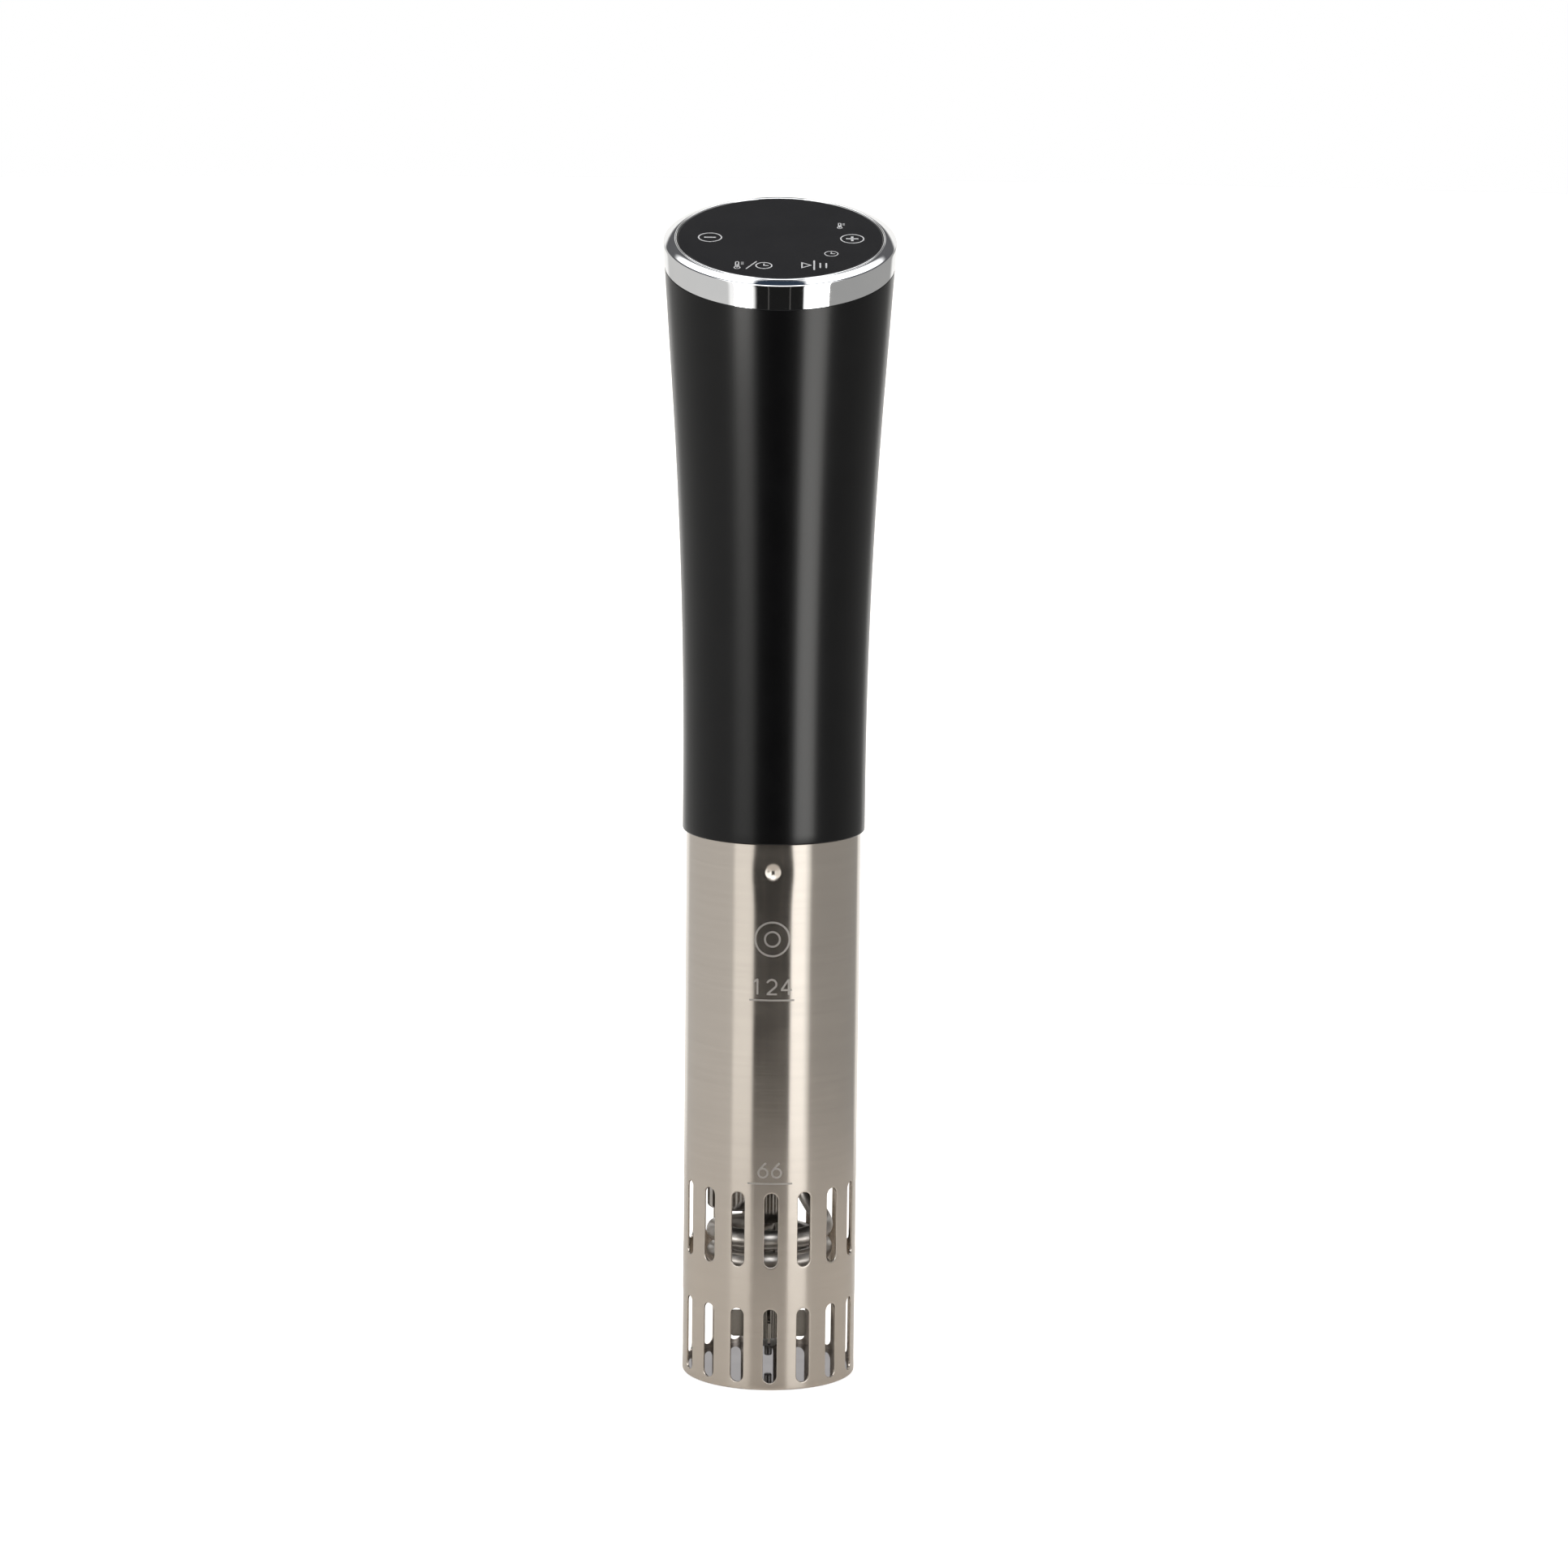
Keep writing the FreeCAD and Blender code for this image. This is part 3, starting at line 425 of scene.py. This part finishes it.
def skirt_tube():
    """The rolled tube: two rows of slots, an upper part with dimples, and a rounded lower edge."""
    net = Net()
    inner = SKIRT_R - SKIRT_WALL
    middle = (SLOT_ROWS[0] + SLOT_ROWS[1]) / 2
    for index in range(SLOT_COUNT):
        centre_angle = SLOT_TURN - math.pi / 2 + index * TAU / SLOT_COUNT
        slot_cell(net, centre_angle, SKIRT_EDGE, SLOT_ROWS[0], middle)
        slot_cell(net, centre_angle, middle, SLOT_ROWS[1], CELL_TOP)
    columns = SLOT_COUNT * CELL_COLUMNS
    first = SLOT_TURN - math.pi / 2 - math.pi / SLOT_COUNT
    angles = [first + TAU * i / columns for i in range(columns)]
    near = 4 * MM
    heights = spread(CELL_TOP, DIMPLE_Z - near, 30)
    heights += spread(DIMPLE_Z - near, DIMPLE_Z + near, 28)[1:]
    heights += spread(DIMPLE_Z + near, SKIRT_TOP, 14)[1:]
    rows = [[polar(a, tube_radius(a, z), z) for a in angles] for z in heights]
    rows += [[polar(a, tube_radius(a, z) - SKIRT_WALL, z) for a in angles]
             for z in reversed(heights)]
    net.strips(rows)
    lip = arc(SKIRT_R - SKIRT_EDGE, SKIRT_EDGE, SKIRT_EDGE, 0, -90, 5)
    lip += [(inner, 0.0), (inner, SKIRT_EDGE)]
    net.strips([[polar(a, radius - punched(a, z), z) for a in angles] for radius, z in lip])
    tube = net.make("skirt_tube_fine", LOOKS["skirt_steel"], "skirt", weld=2e-6)
    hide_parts("skirt_tube")


# --- Handle and head -----------------------------------------------------------------------------

def flare(z):
    """Radius of the handle's outline at a height."""
    if z <= FLARE_START:
        return BODY_R
    rise = min(z, FLARE_TOP) - FLARE_START
    radius = BODY_R + FLARE_RADIUS - math.sqrt(FLARE_RADIUS ** 2 - rise ** 2)
    if z > FLARE_TOP:
        radius += (z - FLARE_TOP) * math.tan(math.asin(rise / FLARE_RADIUS))
    return radius


def on_slant(angle, height, inset=0.0):
    """Radius and height where the handle's outline, taken in by an inset, meets a slanted plane."""
    z = height
    for _ in range(12):
        z = height + (flare(z) - inset) * math.sin(angle) * SLOPE
    return flare(z) - inset, z


def handle_shell():
    """The moulded handle as one thin shell, cut on the slant at the top."""
    rows = []
    steps = 320
    foot = 0.6 * MM
    chamfer = 0.15 * MM
    for i in range(steps):
        angle = TAU * i / steps
        top_r, top_z = on_slant(angle, SEAM_Z)
        inner_r, inner_z = on_slant(angle, SEAM_Z, BODY_WALL)
        line = [(RECESS_R, BODY_LOW)]
        line += arc(BODY_R - foot, BODY_LOW + foot, foot, -90, 0, 5)
        line += [(flare(z), z) for z in spread(BODY_LOW + foot, top_z - chamfer, 60)[1:]]
        line += [(top_r - chamfer, top_z), (inner_r, inner_z)]
        line += [(flare(z) - BODY_WALL, z) for z in spread(inner_z, RECESS_TOP, 16)[1:]]
        line.append((RECESS_R, RECESS_TOP))
        rows.append([polar(angle, radius, z) for radius, z in line])
    net = Net()
    net.strips(rows, around=True)
    shell = net.make("handle_shell_fine", LOOKS["satin_black"], "root")
    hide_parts("handle_shell")


# Chrome ring: (radius, height over the slanted rim plane)
CROWN = ((35.7 * MM, 0.0), (33.95 * MM, 0.85 * MM), (32.25 * MM, 1.15 * MM))
CROWN_FALL = 1.2 / 2.3          # the bevel's slope outside its first knot
LIP_IN = 32.25 * MM
LIP = ((32.2, 1.3), (32.1, 1.37), (31.95, 1.41), (31.8, 1.37), (31.7, 1.3), (31.6, 1.15))
RING_BORE = 31.6 * MM
RING_SEAT = 29.6 * MM           # bore of the shelf that carries the glass
SPIGOT_IN = 30.4 * MM
SPIGOT_OUT = 31.7 * MM
SPIGOT_DEPTH = 3.3 * MM
TAPE_THICK = 0.3 * MM


def crown(radius):
    """Height of the ring's bevel above the rim plane at a radius: a curve through three knots."""
    if radius > CROWN[0][0]:
        return (CROWN[0][0] - radius) * CROWN_FALL
    total = 0.0
    for i, (knot, height) in enumerate(CROWN):
        share = height
        for j, (other, _) in enumerate(CROWN):
            if j != i:
                share *= (radius - other) / (knot - other)
        total += share
    return total


def raised(radius, height, side):
    """A point's radius and true height, from its height over the rim plane sloping by side."""
    return radius, RIM_Z + height + radius * side


def bevel_end(side):
    """Radius where the bevel would meet the handle's flared outline."""
    low, high = LIP_IN, 38 * MM
    for _ in range(40):
        middle = (low + high) / 2
        if middle > flare(raised(middle, crown(middle), side)[1]):
            high = middle
        else:
            low = middle
    return low


def chrome_ring():
    """Plated ring: upright band, soft edge, crowned bevel and a thin raised lip round the glass."""
    rows = []
    steps = 360
    soft = 0.38 * MM
    chamfer = 0.2 * MM
    seat = GLASS_Z - RIM_Z - GLASS_THICK - TAPE_THICK
    shelf = seat - 2 * MM
    seam = SEAM_Z - RIM_Z
    spigot = seam - SPIGOT_DEPTH
    for i in range(steps):
        angle = TAU * i / steps
        side = math.sin(angle) * SLOPE
        end = bevel_end(side)
        corner = Vector(raised(end, crown(end), side))
        inward = Vector(raised(end - soft, crown(end - soft), side))
        below = Vector((flare(corner.y - soft), corner.y - soft))
        seam_r, seam_z = on_slant(angle, SEAM_Z)
        line = [(seam_r - chamfer, seam_z)]
        line += [(flare(z), z) for z in spread(seam_z + chamfer, below.y, 8)]
        for t in spread(0, 1, 6)[1:-1]:
            point = below * (1 - t) ** 2 + corner * 2 * t * (1 - t) + inward * t ** 2
            line.append((point.x, point.y))
        section = [(radius, crown(radius)) for radius in spread(end - soft, LIP_IN, 14)]
        section += [(radius * MM, height * MM) for radius, height in LIP]
        section += [(RING_BORE, seat), (RING_SEAT, seat), (RING_SEAT, shelf), (SPIGOT_IN, shelf),
                    (SPIGOT_IN, spigot), (SPIGOT_OUT, spigot), (SPIGOT_OUT, seam)]
        line += [raised(radius, height, side) for radius, height in section]
        rows.append([polar(angle, radius, z) for radius, z in line])
    net = Net()
    net.strips(rows, around=True)
    ring = net.make("chrome_ring_fine", LOOKS["chrome"], "root", sharp=40)
    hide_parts("chrome_ring")


def glass_panel():
    """Slanted glass disc, round from above, with an eased upper edge."""
    ease = 0.35 * MM
    steps = 240
    inside = GLASS_R - ease
    line = [(0.0, 0.0), (GLASS_R / 2, 0.0), (inside - ease, 0.0), (inside - ease / 4, 0.0)]
    line += arc(inside, -ease, ease, 90, 0, 6)
    line += [(GLASS_R, -GLASS_THICK), (GLASS_R / 2, -GLASS_THICK), (0.0, -GLASS_THICK)]
    rows = []
    for i in range(steps):
        angle = TAU * i / steps
        side = math.sin(angle) * SLOPE
        rows.append([polar(angle, r, GLASS_Z + h + r * side) for r, h in line])
    net = Net()
    net.strips(rows, closed=False, around=True)
    glass = net.make("glass_panel_fine", LOOKS["black_glass"], "root")
    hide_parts("glass_panel")


# --- Marks ---------------------------------------------------------------------------------------

ETCH_WIDTH = 0.6 * MM
ETCH_HEIGHT = 0.018 * MM
ETCH_STEP = 1.2 * MM
INK_HEIGHT = 0.02 * MM


def dense(line):
    """The same line with more points, so that it follows a curved surface."""
    points = [line[0]]
    for start, end in zip(line, line[1:]):
        pieces = max(1, round(math.dist(start, end) / ETCH_STEP))
        for t in spread(0, 1, pieces)[1:]:
            points.append((start[0] + (end[0] - start[0]) * t, start[1] + (end[1] - start[1]) * t))
    return points


def stroke(net, line, width, place, height, closed=False):
    """Thin raised stroke of even width along a line of (across, up) points on a surface."""
    count = len(line)
    rows = []
    for i, point in enumerate(line):
        here = Vector(point)
        before = Vector(line[i - 1]) if i or closed else None
        after = Vector(line[(i + 1) % count]) if i < count - 1 or closed else None
        into = (here - before).normalized() if before is not None else None
        out = (after - here).normalized() if after is not None else None
        into = into or out
        out = out or into
        along = (into + out).normalized()
        side = Vector((-along.y, along.x))
        reach = width / 2 / max(0.35, side.dot(Vector((-into.y, into.x))))
        left = here + side * reach
        right = here - side * reach
        rows.append([place(*left, -height), place(*left, height), place(*right, height),
                     place(*right, -height)])
    net.strips(rows, around=closed)
    if not closed:
        net.cap(rows[0])
        net.cap(rows[-1])


def circle(x, y, radius):
    """Closed ring of points."""
    count = 40
    return arc(x, y, radius, 0, 360 - 360 / count, count - 1)


def on_tube(across, z, lift):
    """Point on the front of the skirt."""
    return polar(across / SKIRT_R - math.pi / 2, SKIRT_R + lift, z)


def on_glass(x, up, lift):
    """Point on the glass, from its centre, measured up its slope."""
    y = up * math.cos(SLANT) - lift * math.sin(SLANT)
    return (x, y, GLASS_Z + up * math.sin(SLANT) + lift * math.cos(SLANT))


def numeral(digit):
    """Strokes of a plain numeral, one unit high."""
    if digit == "1":
        return [[(0.05, 0.80), (0.35, 1.0)], [(0.32, 1.0), (0.32, 0.0)]]
    if digit == "2":
        return [arc(0.32, 0.68, 0.30, 165, -30, 14) + [(0.04, 0.04)], [(0.0, 0.03), (0.66, 0.03)]]
    if digit == "4":
        return [[(0.50, 0.0), (0.50, 1.0)], [(0.48, 0.98), (0.03, 0.32)],
                [(0.0, 0.30), (0.70, 0.30)]]
    return [[(0.52, 1.0), (0.30, 0.80), (0.11, 0.56)] + arc(0.32, 0.31, 0.31, 160, 478, 30)]


def etch(net, line, width, layer, closed=False):
    """One stroke on the skirt; each layer stands a hair higher, so crossing strokes stay clean."""
    stroke(net, dense(line), width, on_tube, ETCH_HEIGHT + layer * 0.002 * MM, closed)


def level_mark(net, text, line_z, low, high):
    """A level line with a plain height in millimetres above it."""
    size = high - low
    advance = 0.92 * size
    left = -(advance * (len(text) - 1) + 0.66 * size) / 2
    for index, digit in enumerate(text):
        for layer, line in enumerate(numeral(digit)):
            placed = [(left + index * advance + x * size, low + y * size) for x, y in line]
            etch(net, placed, ETCH_WIDTH, layer)
    etch(net, [(-7.0 * MM, line_z), (7.0 * MM, line_z)], 0.55 * MM, 0)


def skirt_marks():
    """Etched marks on the skirt's front: two level lines, and two plain rings, one in the other."""
    net = Net()
    level_mark(net, "124", 124.2 * MM, 126.0 * MM, 130.8 * MM)
    level_mark(net, "66", 66.1 * MM, 68.1 * MM, 72.7 * MM)
    for radius in (5.3 * MM, 2.3 * MM):
        etch(net, circle(0.0, 143.4 * MM, radius), ETCH_WIDTH, 0, closed=True)
    marks = net.make("skirt_marks", LOOKS["etched_steel"], "skirt")


def ink(net, line, width, closed=False):
    """One printed stroke on the glass."""
    stroke(net, line, width, on_glass, INK_HEIGHT, closed)


def thermometer(net, x, y, size, thin):
    """Bulb and stem with three short degree ticks."""
    bulb_r = 0.16 * size
    stem = 0.085 * size
    low = y - size / 2 + bulb_r
    outline = arc(x, low, bulb_r, 122, 418, 20)
    outline += arc(x, y + size / 2 - stem, stem, 0, 180, 8)
    ink(net, outline, thin, closed=True)
    ink(net, [(x, low), (x, y + size * 0.1)], thin)
    for up in (0.12, 0.28, 0.42):
        ink(net, [(x + 0.2 * size, y + up * size), (x + 0.36 * size, y + up * size)], thin * 0.8)


def clock(net, x, y, radius, thin):
    """Round clock face with two hands."""
    ink(net, circle(x, y, radius), thin, closed=True)
    ink(net, [(x, y + 0.62 * radius), (x, y), (x + 0.6 * radius, y)], thin)


def glass_symbols():
    """Printed touch symbols: minus, plus, thermometers, clocks and start with pause."""
    net = Net()
    thin = 0.42 * MM
    for x in (-21.4, 22.0):
        ink(net, circle(x * MM, 0.0, 3.5 * MM), thin, closed=True)
    ink(net, [(-23.2 * MM, 0.0), (-19.6 * MM, 0.0)], 0.7 * MM)
    ink(net, [(20.1 * MM, 0.0), (23.9 * MM, 0.0)], 0.8 * MM)
    ink(net, [(22.0 * MM, -1.9 * MM), (22.0 * MM, 1.9 * MM)], 0.8 * MM)
    thermometer(net, 18.2 * MM, 10.5 * MM, 4.4 * MM, 0.3 * MM)
    thermometer(net, -12.9 * MM, -22.3 * MM, 5.6 * MM, 0.34 * MM)
    clock(net, 15.6 * MM, -12.3 * MM, 2.0 * MM, 0.34 * MM)
    clock(net, -4.8 * MM, -22.4 * MM, 2.4 * MM, thin)
    ink(net, [(-10.2 * MM, -25.2 * MM), (-7.0 * MM, -19.1 * MM)], thin)
    play = [(6.7 * MM, -23.8 * MM), (9.4 * MM, -21.8 * MM), (6.7 * MM, -19.8 * MM)]
    ink(net, play, thin, closed=True)
    for x, low, high in ((10.4, -25.5, -18.0), (12.25, -23.8, -19.9), (14.05, -23.8, -19.9)):
        ink(net, [(x * MM, low * MM), (x * MM, high * MM)], 0.5 * MM)
    marks = net.make("glass_symbols", LOOKS["symbol_white"], "root")


# --- Heater --------------------------------------------------------------------------------------

def heater_coil():
    """The sheathed heater as one smooth wound tube between its two legs."""
    # Down the first leg, a swing out to the winding, the turns, and back up the second leg
    points = [LEG_A + (LEG_TOP,), LEG_A + (110 * MM,), LEG_A + (70 * MM,), LEG_A + (58 * MM,)]
    for degrees, height in ((42, 51.6 * MM), (21, 48.0 * MM)):
        points.append(polar(math.radians(degrees), COIL_R, height))
    corner_r = COIL_R / math.cos(math.pi / COIL_STEPS) * 0.985
    for step in range(int(COIL_TURNS * COIL_STEPS)):
        turn = step / COIL_STEPS
        drop = turn + COIL_EASE * (math.cos(TAU * turn) - 1)
        points.append(polar(-TAU * turn, corner_r, COIL_TOP - COIL_PITCH * drop))
    points += [(-2.2 * MM, 14.2 * MM, 27.6 * MM), LEG_B + (31.5 * MM,), LEG_B + (45 * MM,),
               LEG_B + (100 * MM,), LEG_B + (LEG_TOP,)]
    curve = bpy.data.curves.new("heater_path", "CURVE")
    curve.dimensions = "3D"
    curve.resolution_u = 8
    curve.bevel_depth = COIL_TUBE_R
    curve.bevel_resolution = 10
    curve.use_fill_caps = True
    spline = curve.splines.new("NURBS")
    spline.points.add(len(points) - 1)
    for place, point in zip(spline.points, points):
        place.co = (*point, 1.0)
    spline.order_u = 3
    spline.use_endpoint_u = True
    source = bpy.data.objects.new("heater_path", curve)
    bpy.context.scene.collection.objects.link(source)
    bpy.context.view_layer.update()
    mesh = bpy.data.meshes.new_from_object(source)
    bpy.data.objects.remove(source)
    mesh.materials.clear()
    mesh.materials.append(LOOKS["heater_metal"])
    mesh.shade_smooth()
    coil = bpy.data.objects.new("heater_coil_fine", mesh)
    bpy.context.scene.collection.objects.link(coil)
    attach(coil, "root")
    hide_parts("heater_coil")


# --- Stage ---------------------------------------------------------------------------------------

FLOOR_REACH = 0.25              # how far the floor shows in reflections
FLOOR_FADE = 0.08
FLOOR_GLOW = 0.78               # the camera sees the floor nearly as white as the background


def make_floor():
    """Plain pale floor just under the skirt."""
    finish = Finish("floor_look", (0.82, 0.82, 0.82), 0.0, 0.8)
    tree = finish.tree
    seen = finish.node("LightPath").outputs["Is Camera Ray"]
    tint = finish.blend(finish.noise(3.0), (0.69, 0.65, 0.60), (0.72, 0.68, 0.63))
    finish.set("Base Color", tint)
    finish.set("Emission Color", (1.0, 1.0, 1.0, 1.0))
    finish.set("Emission Strength", finish.maths("MULTIPLY_ADD", seen, FLOOR_GLOW, 0.0))
    finish.set("Roughness", finish.maths("MULTIPLY_ADD", seen, 0.75, 0.25))
    away = finish.node("VectorMath", {"operation": "LENGTH"})
    give(tree, away.inputs[0], finish.place())
    outside = finish.between(away.outputs["Value"], 0.0, 1.0, FLOOR_REACH,
                             FLOOR_REACH + FLOOR_FADE)
    unseen = finish.maths("SUBTRACT", outside, seen)
    unseen.node.use_clamp = True
    mixed = finish.node("MixShader")
    give(tree, mixed.inputs[0], unseen)
    give(tree, mixed.inputs[1], finish.shader.outputs[0])
    give(tree, mixed.inputs[2], finish.node("BsdfTransparent").outputs[0])
    give(tree, tree.nodes["Material Output"].inputs["Surface"], mixed.outputs[0])
    net = Net()
    net.strips([[polar(TAU * i / 96, radius, -0.2 * MM) for i in range(96)]
                for radius in (0.0, 0.5, 4.0)])
    floor = net.make("floor", finish.material, "root")
    floor.parent = None
    del floor["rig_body"]


# Light tent seen from the object: degrees round it from the front, positive to the right, and the
# brightness there. The camera's dark gap is at the front, with a tall soft box on each side of it.
TENT = ((-180, 1.0), (-154, 1.0), (-146, 0.60), (-54, 0.63), (-51, 1.05), (-26, 1.05),
        (-23.5, 0.012), (24, 0.012), (26, 0.34), (146, 0.36), (154, 1.0), (180, 1.0))
TENT_TINT = (1.0, 0.99, 0.965, 1.0)
KEY_BOX = (1.78, 1.79, 1.78, 1.0)
KEY_NEAR = (0.415, 0.45)        # its edges' soft steps, radians round the object
KEY_FAR = 0.83
KEY_FAR_RISE = 0.09             # its far edge stands this much further out higher up
KEY_FADE = 0.08
SLIT_TURN = 0.19                # two faint slits in the dark gap
SLIT_GLOW = (0.10, 0.095, 0.09, 1.0)
CEILING_LOW = (0.115, 0.115, 0.12, 1.0)
CEILING_HIGH = (0.03, 0.045, 0.07, 1.0)
STRIP_GLOW = (2.2, 2.2, 2.2, 1.0)
FRONT_GLOW = (2.6, 2.6, 2.6, 1.0)
WHITE = (1.0, 1.0, 1.0, 1.0)


def make_world():
    """Soft light tent with a dark ceiling and two overhead strips; plain white to the camera."""
    world = bpy.data.worlds.new("light_tent")
    world.use_nodes = True
    tree = world.node_tree
    tree.nodes.clear()

    def node(kind, settings=None, *inputs):
        made = tree.nodes.new("ShaderNode" + kind)
        for key, value in (settings or {}).items():
            setattr(made, key, value)
        for socket, value in zip(made.inputs, inputs):
            give(tree, socket, value)
        return made

    def maths(operation, *inputs):
        return node("Math", {"operation": operation}, *inputs).outputs[0]

    def soft_step(value, start, end):
        settings = {"interpolation_type": "SMOOTHSTEP"}
        return node("MapRange", settings, value, start, end, 0.0, 1.0).outputs[0]

    def mix(fac, one, other, blend="MIX"):
        return node("MixRGB", {"blend_type": blend}, fac, one, other).outputs[0]

    x, y, z = node("SeparateXYZ", None, node("TexCoord").outputs["Generated"]).outputs
    around = maths("ARCTAN2", x, maths("MULTIPLY", y, -1.0))

    # Walls, with the soft box that makes the main highlight
    ramp = node("ValToRGB", None, maths("MULTIPLY_ADD", around, 1 / TAU, 0.5))
    stops = ramp.color_ramp.elements
    while len(stops) < len(TENT):
        stops.new(0.5)
    for stop, (degrees, bright) in zip(stops, TENT):
        stop.position = (degrees + 180) / 360
        stop.color = (bright, bright, bright, 1.0)
    walls = mix(1.0, ramp.outputs[0], TENT_TINT, "MULTIPLY")
    far_edge = maths("MULTIPLY_ADD", soft_step(z, -0.21, -0.185), KEY_FAR_RISE, KEY_FAR)
    beyond = soft_step(maths("SUBTRACT", far_edge, around), 0.0, KEY_FADE)
    key = maths("MULTIPLY", soft_step(around, *KEY_NEAR), beyond)
    dimmer_low = maths("MULTIPLY_ADD", soft_step(z, -0.25, -0.20), 0.35, 0.65)
    walls = mix(maths("MULTIPLY", key, dimmer_low), walls, KEY_BOX)
    slit = maths("ABSOLUTE", maths("SUBTRACT", maths("ABSOLUTE", around), SLIT_TURN))
    walls = mix(soft_step(slit, 0.010, 0.004), walls, SLIT_GLOW, "ADD")

    # Ceiling, with two strips behind the object and a bright part towards the front
    sideways = maths("ABSOLUTE", x)
    outward = maths("ADD", sideways, maths("MULTIPLY", y, 0.22))
    strip = maths("MULTIPLY", soft_step(outward, 0.15, 0.18), soft_step(sideways, 0.43, 0.38))
    strip = maths("MULTIPLY", strip, soft_step(y, -0.1, 0.1))
    strip = maths("MULTIPLY", strip, soft_step(z, 0.69, 0.77))
    ceiling = mix(soft_step(z, 0.70, 0.86), CEILING_LOW, CEILING_HIGH)
    ceiling = mix(strip, ceiling, STRIP_GLOW)
    ceiling = mix(soft_step(y, -0.30, -0.42), ceiling, FRONT_GLOW)

    tent = mix(soft_step(z, 0.50, 0.57), walls, ceiling)
    shown = mix(node("LightPath").outputs["Is Camera Ray"], tent, WHITE)
    background = node("Background", None, shown, 1.0)
    output = node("OutputWorld")
    tree.links.new(background.outputs[0], output.inputs[0])
    bpy.context.scene.world = world
    bpy.context.scene.view_settings.view_transform = "Standard"


HEAD = ("handle_shell_fine", "chrome_ring_fine")
COIL = ("heater_coil_fine",)
# Soft boxes: degrees round from the front, width, height, height of the middle, brightness,
# the pieces that it lights and the pieces that shade it (all of them if None)
BOXES = {
    "key_box": (38.7, 0.345, 0.40, 0.15, 4.4, HEAD, None),
    "side_box": (-36.5, 0.25, 0.32, 0.30, 7.4, HEAD, None),
    "coil_box_left": (-62.0, 0.16, 0.16, 0.0, 9.0, COIL, COIL),
    "coil_box_right": (60.0, 0.16, 0.16, 0.0, 9.0, COIL, COIL),
}
BOX_AWAY = 0.8


def piece_group(name, pieces):
    """Collection of pieces, for a light to name."""
    group = bpy.data.collections.new(name)
    for piece in pieces:
        group.objects.link(bpy.data.objects[piece])
    return group


def make_box_light(name, bearing, width, height, middle, radiance, lit, shaded_by):
    """Soft box at the front that faces the main axis and lights the named pieces only."""
    turn = math.radians(bearing)
    data = bpy.data.lights.new(name, "AREA")
    data.shape = "RECTANGLE"
    data.size = width
    data.size_y = height
    data.energy = radiance * math.pi * width * height
    data.color = (1.0, 0.985, 0.95)
    light = bpy.data.objects.new(name, data)
    bpy.context.scene.collection.objects.link(light)
    light.location = (BOX_AWAY * math.sin(turn), -BOX_AWAY * math.cos(turn), middle)
    light.rotation_euler = (math.radians(90), 0.0, turn)
    light.visible_camera = False
    light.light_linking.receiver_collection = piece_group(name + "_lit", lit)
    if shaded_by:
        light.light_linking.blocker_collection = piece_group(name + "_shade", shaded_by)


LENS = 150.6
CAMERA_AT = (3.03 * MM, -1997.88 * MM, 561.19 * MM)
CAMERA_TILT = math.radians(79.39)       # from straight down
CAMERA_ROLL = math.radians(0.64)


def make_camera():
    """Long lens in front of the object, looking slightly down."""
    data = bpy.data.cameras.new("camera")
    data.sensor_width = 36.0
    data.lens = LENS
    camera = bpy.data.objects.new("camera", data)
    bpy.context.scene.collection.objects.link(camera)
    camera.location = CAMERA_AT
    tilt = Euler((CAMERA_TILT, 0.0, 0.0)).to_matrix()
    camera.rotation_euler = (tilt @ Matrix.Rotation(CAMERA_ROLL, 3, "Z")).to_euler()
    bpy.context.scene.camera = camera


dress_cad_nodes()
skirt_tube()
handle_shell()
chrome_ring()
glass_panel()
skirt_marks()
glass_symbols()
heater_coil()
make_floor()
make_world()
for box_name, box in BOXES.items():
    make_box_light(box_name, *box)
make_camera()
